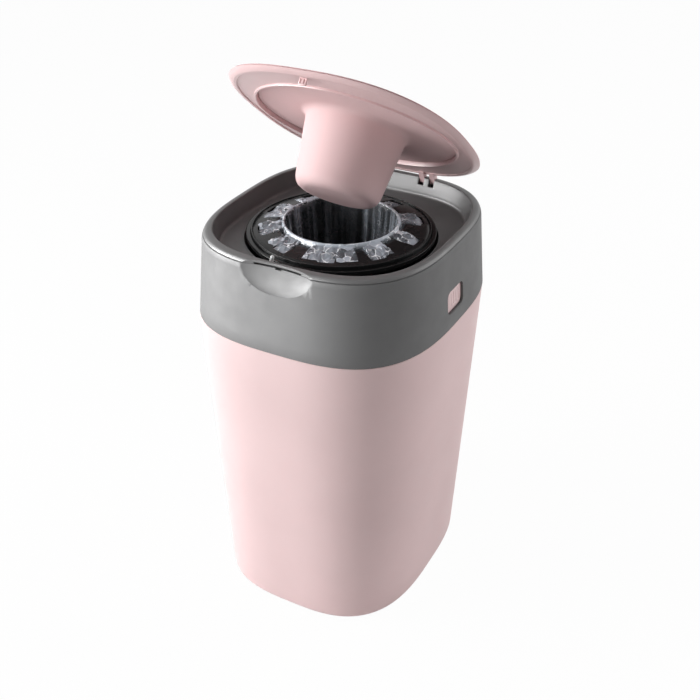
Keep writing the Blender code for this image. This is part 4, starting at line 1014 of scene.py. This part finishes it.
LEDGE_LOW = PLATE_LOW + LID_WALL + FIT
LEDGE_TOP = LEDGE_LOW + 1.7 * MM
HUB = LEDGE - 0.8 * MM


def lid_ring(inset, z):
    return oval(LID_HALF_X - inset, LID_HALF_Y - inset, z, LID_POWER, LID_REAR - LID_HALF_Y)


def opened(item):
    item.data.transform(OPENED)
    return item


def ear_outline():
    root = LID_LOW - HINGE.z
    front, back, high = -13.5 * MM, -1.6 * MM, root + LID_BITE
    outline = [(front, high), (front, root - FIT)]
    for step in range(25):
        angle = radians(-150 + 220 * step / 24)
        outline.append((KNUCKLE * cos(angle), KNUCKLE * sin(angle)))
    outline.append((back, high))
    return [(HINGE.y + y, HINGE.z + z) for y, z in outline]


def catch_outline():
    front = CATCH_FRONT
    back = front + 1.5 * MM
    barb = back + 1.6 * MM
    top_z, low_z = LID_LOW + LID_BITE, LID_LOW - 6.6 * MM
    barb_z = low_z + 2.1 * MM
    return [
        (front, top_z), (front, low_z), (back, low_z), (barb, barb_z - 0.75 * MM), (barb, barb_z),
        (back, barb_z + 1.5 * MM), (back, top_z),
    ]


def slotted_catch():
    """The front hook, its face cut into three ribs."""
    half_x, depth = 4 * MM, MM
    low_z, high_z = LID_LOW - 5 * MM, LID_LOW - 0.6 * MM
    hook = prism_x("catch", catch_outline(), -half_x, half_x)
    for side in (-1, 1):
        ends = span(side, 1.1 * MM, 2.7 * MM)
        low = (ends[0], CATCH_FRONT - depth, low_z)
        cut(hook, box("rib_gap", low, (ends[1], CATCH_FRONT + depth, high_z)))
    soften(hook, 0.2 * MM)
    return hook


def build_lid_frame():
    under, flange_top = LID_LOW, LID_LOW + LID_WALL
    rib_out, rib_low = RIB + 2.5 * MM, LID_LOW - 1.2 * MM
    recess, round_off = 1.1 * MM, 0.7 * MM
    step_down = ((4.4, recess), (3.6, recess), (3.0, 0.3 * MM), (2.6, 0.0), (0.8, 0.0))
    steps = 10
    rings = []
    for step in range(steps + 1):
        share = step / steps
        back = 1 - share
        tuck = LID_EDGE * (back * back + 2 * back * share * EDGE_BEND[0])
        rings.append(lid_ring(tuck, under + (LID_EDGE_Z - under) * share * (share + 2 * back * EDGE_BEND[1])))
    rings += [
        lid_ring(LID_EDGE / 12, LID_EDGE_Z + 0.1 * MM),
        lid_ring(LID_EDGE / 4, LID_JOINT_Z),
        lid_ring(LID_EDGE * 2 / 3, LID_JOINT_Z),
        lid_ring(LID_EDGE, flange_top),
    ]
    nick = round_off * 0.3
    rings += well_rings(
        (rib_out, flange_top), (rib_out, LEDGE_TOP), (LEDGE, LEDGE_TOP), (LEDGE, LEDGE_LOW),
        (RIB, LEDGE_LOW), (RIB, rib_low + round_off), (RIB + nick, rib_low + nick),
        (RIB + round_off, rib_low), (rib_out - round_off, rib_low), (rib_out - nick, rib_low + nick),
        (rib_out, rib_low + round_off), (rib_out, under + recess - round_off / 2),
        (rib_out + round_off / 2, under + recess), (rib_out + round_off * 1.5, under + recess),
    )
    rings += [lid_ring(LID_EDGE + inset * MM, under + rise) for inset, rise in step_down]
    item = loft("lid_frame_moulding", rings, closed=True)
    for low_x in ear_places():
        cut(item, prism_x("ear", ear_outline(), low_x, low_x + EAR_WIDTH), "UNION")
    cut(item, slotted_catch(), "UNION")
    reach = EAR_FAR + EAR_WIDTH + EAR_GAP
    cut(item, rod_x("ear_bore", PIN_RADIUS + FIT, -reach, reach, HINGE))
    smooth(item.data)
    finished(opened(item), lid_pink, "lid", ["lid_frame"])


def build_lid_shell():
    low, bead = LID_JOINT_Z + FIT, 0.6 * MM
    collar, collar_low = DIAL_HOLE + LID_WALL, LEDGE_TOP + FIT
    seam, edge_in, edge_round, shoulder = 1.7 * MM, 0.5 * MM, 2.5 * MM, 7 * MM
    crown_steps = 6
    edge_ring = lid_ring(shoulder, SHELL_SHOULDER_Z)
    hole_ring = well_ring(DIAL_HOLE + EDGE, SHELL_CROWN_Z)
    rings = [lid_ring(seam, low), lid_ring(0.7 * MM, low + 0.6 * bead), lid_ring(edge_in, low + bead)]
    rings += [
        lid_ring(edge_in + edge_round * across, low + bead + (SHELL_EDGE_Z - low - bead) * along)
        for along, across in arc(6)[1:]
    ]
    rings.append(edge_ring)
    for step in range(1, crown_steps):
        share = step / crown_steps
        rise = (SHELL_CROWN_Z - SHELL_SHOULDER_Z) * sin(pi / 2 * share)
        rings.append([
            Vector((a.x + (b.x - a.x) * share, a.y + (b.y - a.y) * share, SHELL_SHOULDER_Z + rise))
            for a, b in zip(edge_ring, hole_ring)
        ])
    rings += [hole_ring] + well_rings(
        (DIAL_HOLE, SHELL_CROWN_Z - EDGE), (DIAL_HOLE, collar_low), (collar, collar_low),
        (collar, SHELL_CROWN_Z - LID_WALL),
    )
    rings += [lid_ring(shoulder + LID_WALL / 2, SHELL_SHOULDER_Z - LID_WALL), lid_ring(LID_EDGE / 2, low)]
    item = loft("lid_shell_moulding", rings, closed=True)
    finished(opened(item), lid_pink, "lid", ["lid_shell"])


def build_plunger():
    """The tapered cup under the lid, with its round plate above."""
    end, taper = PLATE_LOW - 79.1 * MM, 10 * MM
    top, plate_out = TUBE_BORE - 5.8 * MM, RIB - MM
    low_out, plate_high = top - taper, PLATE_LOW + LID_WALL
    points = [
        (0.0, end + WALL), (low_out - WALL, end + WALL), (top - WALL, plate_high),
        (plate_out, plate_high), (plate_out, PLATE_LOW), (top, PLATE_LOW), (low_out, end), (0.0, end),
    ]
    sizes = [0, 9, 5, 0.4, 0.6, 8.5, 13.5, 0]
    item = turned("plunger_moulding", rounded(points, sizes, 10), closed=False)
    finished(opened(item), plunger_pink, "dial", ["plunger"])


def build_dial():
    """The twist dial: crowned disc, dished middle and grip bar, its hub down through the frame."""
    dish_out, slope, depth = 64 * MM, 6 * MM, 6.8 * MM
    hub_low, hub_in = PLATE_LOW + LID_WALL + FIT, HUB - 3 * MM
    out, skirt_in = DIAL_HOLE - MM, DIAL_HOLE - 3 * MM
    edge, shoulder, crown = SHELL_CROWN_Z - 1.6 * MM, SHELL_CROWN_Z - 0.6 * MM, SHELL_CROWN_Z + 1.6 * MM
    low, dish = LEDGE_TOP + 0.5 * MM, crown - depth
    points = [
        (0.0, dish), (dish_out - slope, dish), (dish_out, crown), (HUB, (crown + shoulder) / 2),
        (skirt_in, shoulder), (out, edge), (out, low), (skirt_in, low), (skirt_in, edge - MM),
        (HUB, shoulder - MM), (HUB, hub_low), (hub_in, hub_low), (hub_in, shoulder - MM),
        (dish_out + LID_WALL, crown - LID_WALL), (dish_out - slope + LID_WALL, dish - LID_WALL),
        (0.0, dish - LID_WALL),
    ]
    sizes = [0, 3, 3, 0, 1, 0.8] + [0] * 10
    item = turned("dial_moulding", rounded(points, sizes, 6), closed=False)
    half = 8.5 * MM
    low = (-dish_out, AXIS_Y - half, dish - MM)
    bar = box("grip_bar", low, (dish_out, AXIS_Y + half, crown - 0.8 * MM))
    bevel = bar.modifiers.new("round", "BEVEL")
    bevel.width = 2.5 * MM
    bevel.segments = 6
    apply_modifiers(bar)
    cut(item, bar, "UNION")
    soften(item, 0.4 * MM)
    finished(opened(item), lid_pink, "dial", ["twist_dial"])


build_tub()
build_housing()
build_liner()
build_pins()
build_tab("release_tab_left", -1)
build_tab("release_tab_right", 1)
build_carrier()
build_cassette()
build_cap()
build_grip_ring()
build_film_pack()
build_film()
build_peg()
build_lid_frame()
build_lid_shell()
build_plunger()
build_dial()

# Two nodes stay as they are in the frame and get a material only
dress(frame["nodes"]["dial_ratchet"], click_white)
dress(frame["nodes"]["click_spring"], pin_steel)


# Floor, light, world and the photograph's camera


LENS_MM = 52.235
SENSOR_MM = 36.0
CAMERA_TURN = radians(28.0745)
CAMERA_TILT = radians(31.8549)
CAMERA_PLACE = (0.4733, -0.8757, 0.8987)
LIT_MIDDLE = Vector((0.0, 0.0, 0.25))
WHITE = (1.0, 1.0, 1.0, 1.0)


def seen_directly(tree):
    """1 for rays from the camera, a mirror or glass, 0 for the light that falls on the object."""
    path = tree.nodes.new("ShaderNodeLightPath").outputs
    total = combined(tree, "MAXIMUM", path["Is Camera Ray"], path["Is Glossy Ray"])
    return combined(tree, "MAXIMUM", total, path["Is Transmission Ray"])


def build_floor(grey, glow):
    """A floor that takes the shadow and shines by itself, so that it shows as white as the world."""
    shape = bmesh.new()
    bmesh.ops.create_circle(shape, cap_ends=True, segments=96, radius=12.0)
    floor = object_from("floor", shape)
    material, tree, shader = shader_of("floor_white")
    inputs = {"Base Color": (grey, grey, grey, 1.0), "Roughness": 0.9, "Specular IOR Level": 0.1}
    lit = feed(tree, shader, inputs).outputs["BSDF"]
    shining = tree.nodes.new("ShaderNodeEmission").outputs["Emission"]
    share = combined(tree, "MULTIPLY", seen_directly(tree), glow)
    tree.links.new(mixed(tree, share, lit, shining), tree.nodes["Material Output"].inputs["Surface"])
    floor.data.materials.append(material)


def build_world(ambient):
    world = bpy.data.worlds.new("studio")
    bpy.context.scene.world = world
    world.use_nodes = True
    tree = world.node_tree
    base = feed(tree, tree.nodes["Background"], {"Color": WHITE, "Strength": ambient})
    seen = new_node(tree, "ShaderNodeBackground", {"Color": WHITE})
    both = mixed(tree, seen_directly(tree), base.outputs["Background"], seen.outputs["Background"])
    tree.links.new(both, tree.nodes["World Output"].inputs["Surface"])


def softbox(name, azimuth, elevation, distance, size, level, sheen_only=False):
    """A square lamp at a direction from the object; level 1 alone renders a white face as white."""
    lamp = bpy.data.lights.new(name, "AREA")
    lamp.shape = "SQUARE"
    lamp.size = size
    lamp.energy = level * pi ** 2 * distance ** 2
    item = link(name, lamp)
    turn, tilt = radians(azimuth), radians(elevation)
    way = Vector((cos(turn) * cos(tilt), sin(turn) * cos(tilt), sin(tilt)))
    item.location = LIT_MIDDLE + way * distance
    item.rotation_euler = way.to_track_quat("Z", "Y").to_euler()
    item.visible_diffuse = not sheen_only


def build_camera():
    camera = bpy.data.cameras.new("camera")
    camera.sensor_width = SENSOR_MM
    camera.lens = LENS_MM
    item = link("camera", camera)
    turn, tilt = CAMERA_TURN, CAMERA_TILT
    right = Vector((cos(turn), sin(turn), 0.0))
    back = Vector((sin(turn) * cos(tilt), -cos(turn) * cos(tilt), sin(tilt)))
    axes = Matrix((right, back.cross(right), back)).transposed().to_4x4()
    item.matrix_world = Matrix.Translation(CAMERA_PLACE) @ axes
    bpy.context.scene.camera = item


build_floor(grey=0.72, glow=0.97)
build_world(ambient=0.32)
softbox("key", azimuth=-146, elevation=22, distance=2.2, size=1.3, level=1.12)
softbox("fill", azimuth=42, elevation=25, distance=2.2, size=1.2, level=0.42)
softbox("sheen", azimuth=-142, elevation=4, distance=2.4, size=2.6, level=8.5, sheen_only=True)
build_camera()
bpy.context.scene.view_settings.view_transform = "Standard"
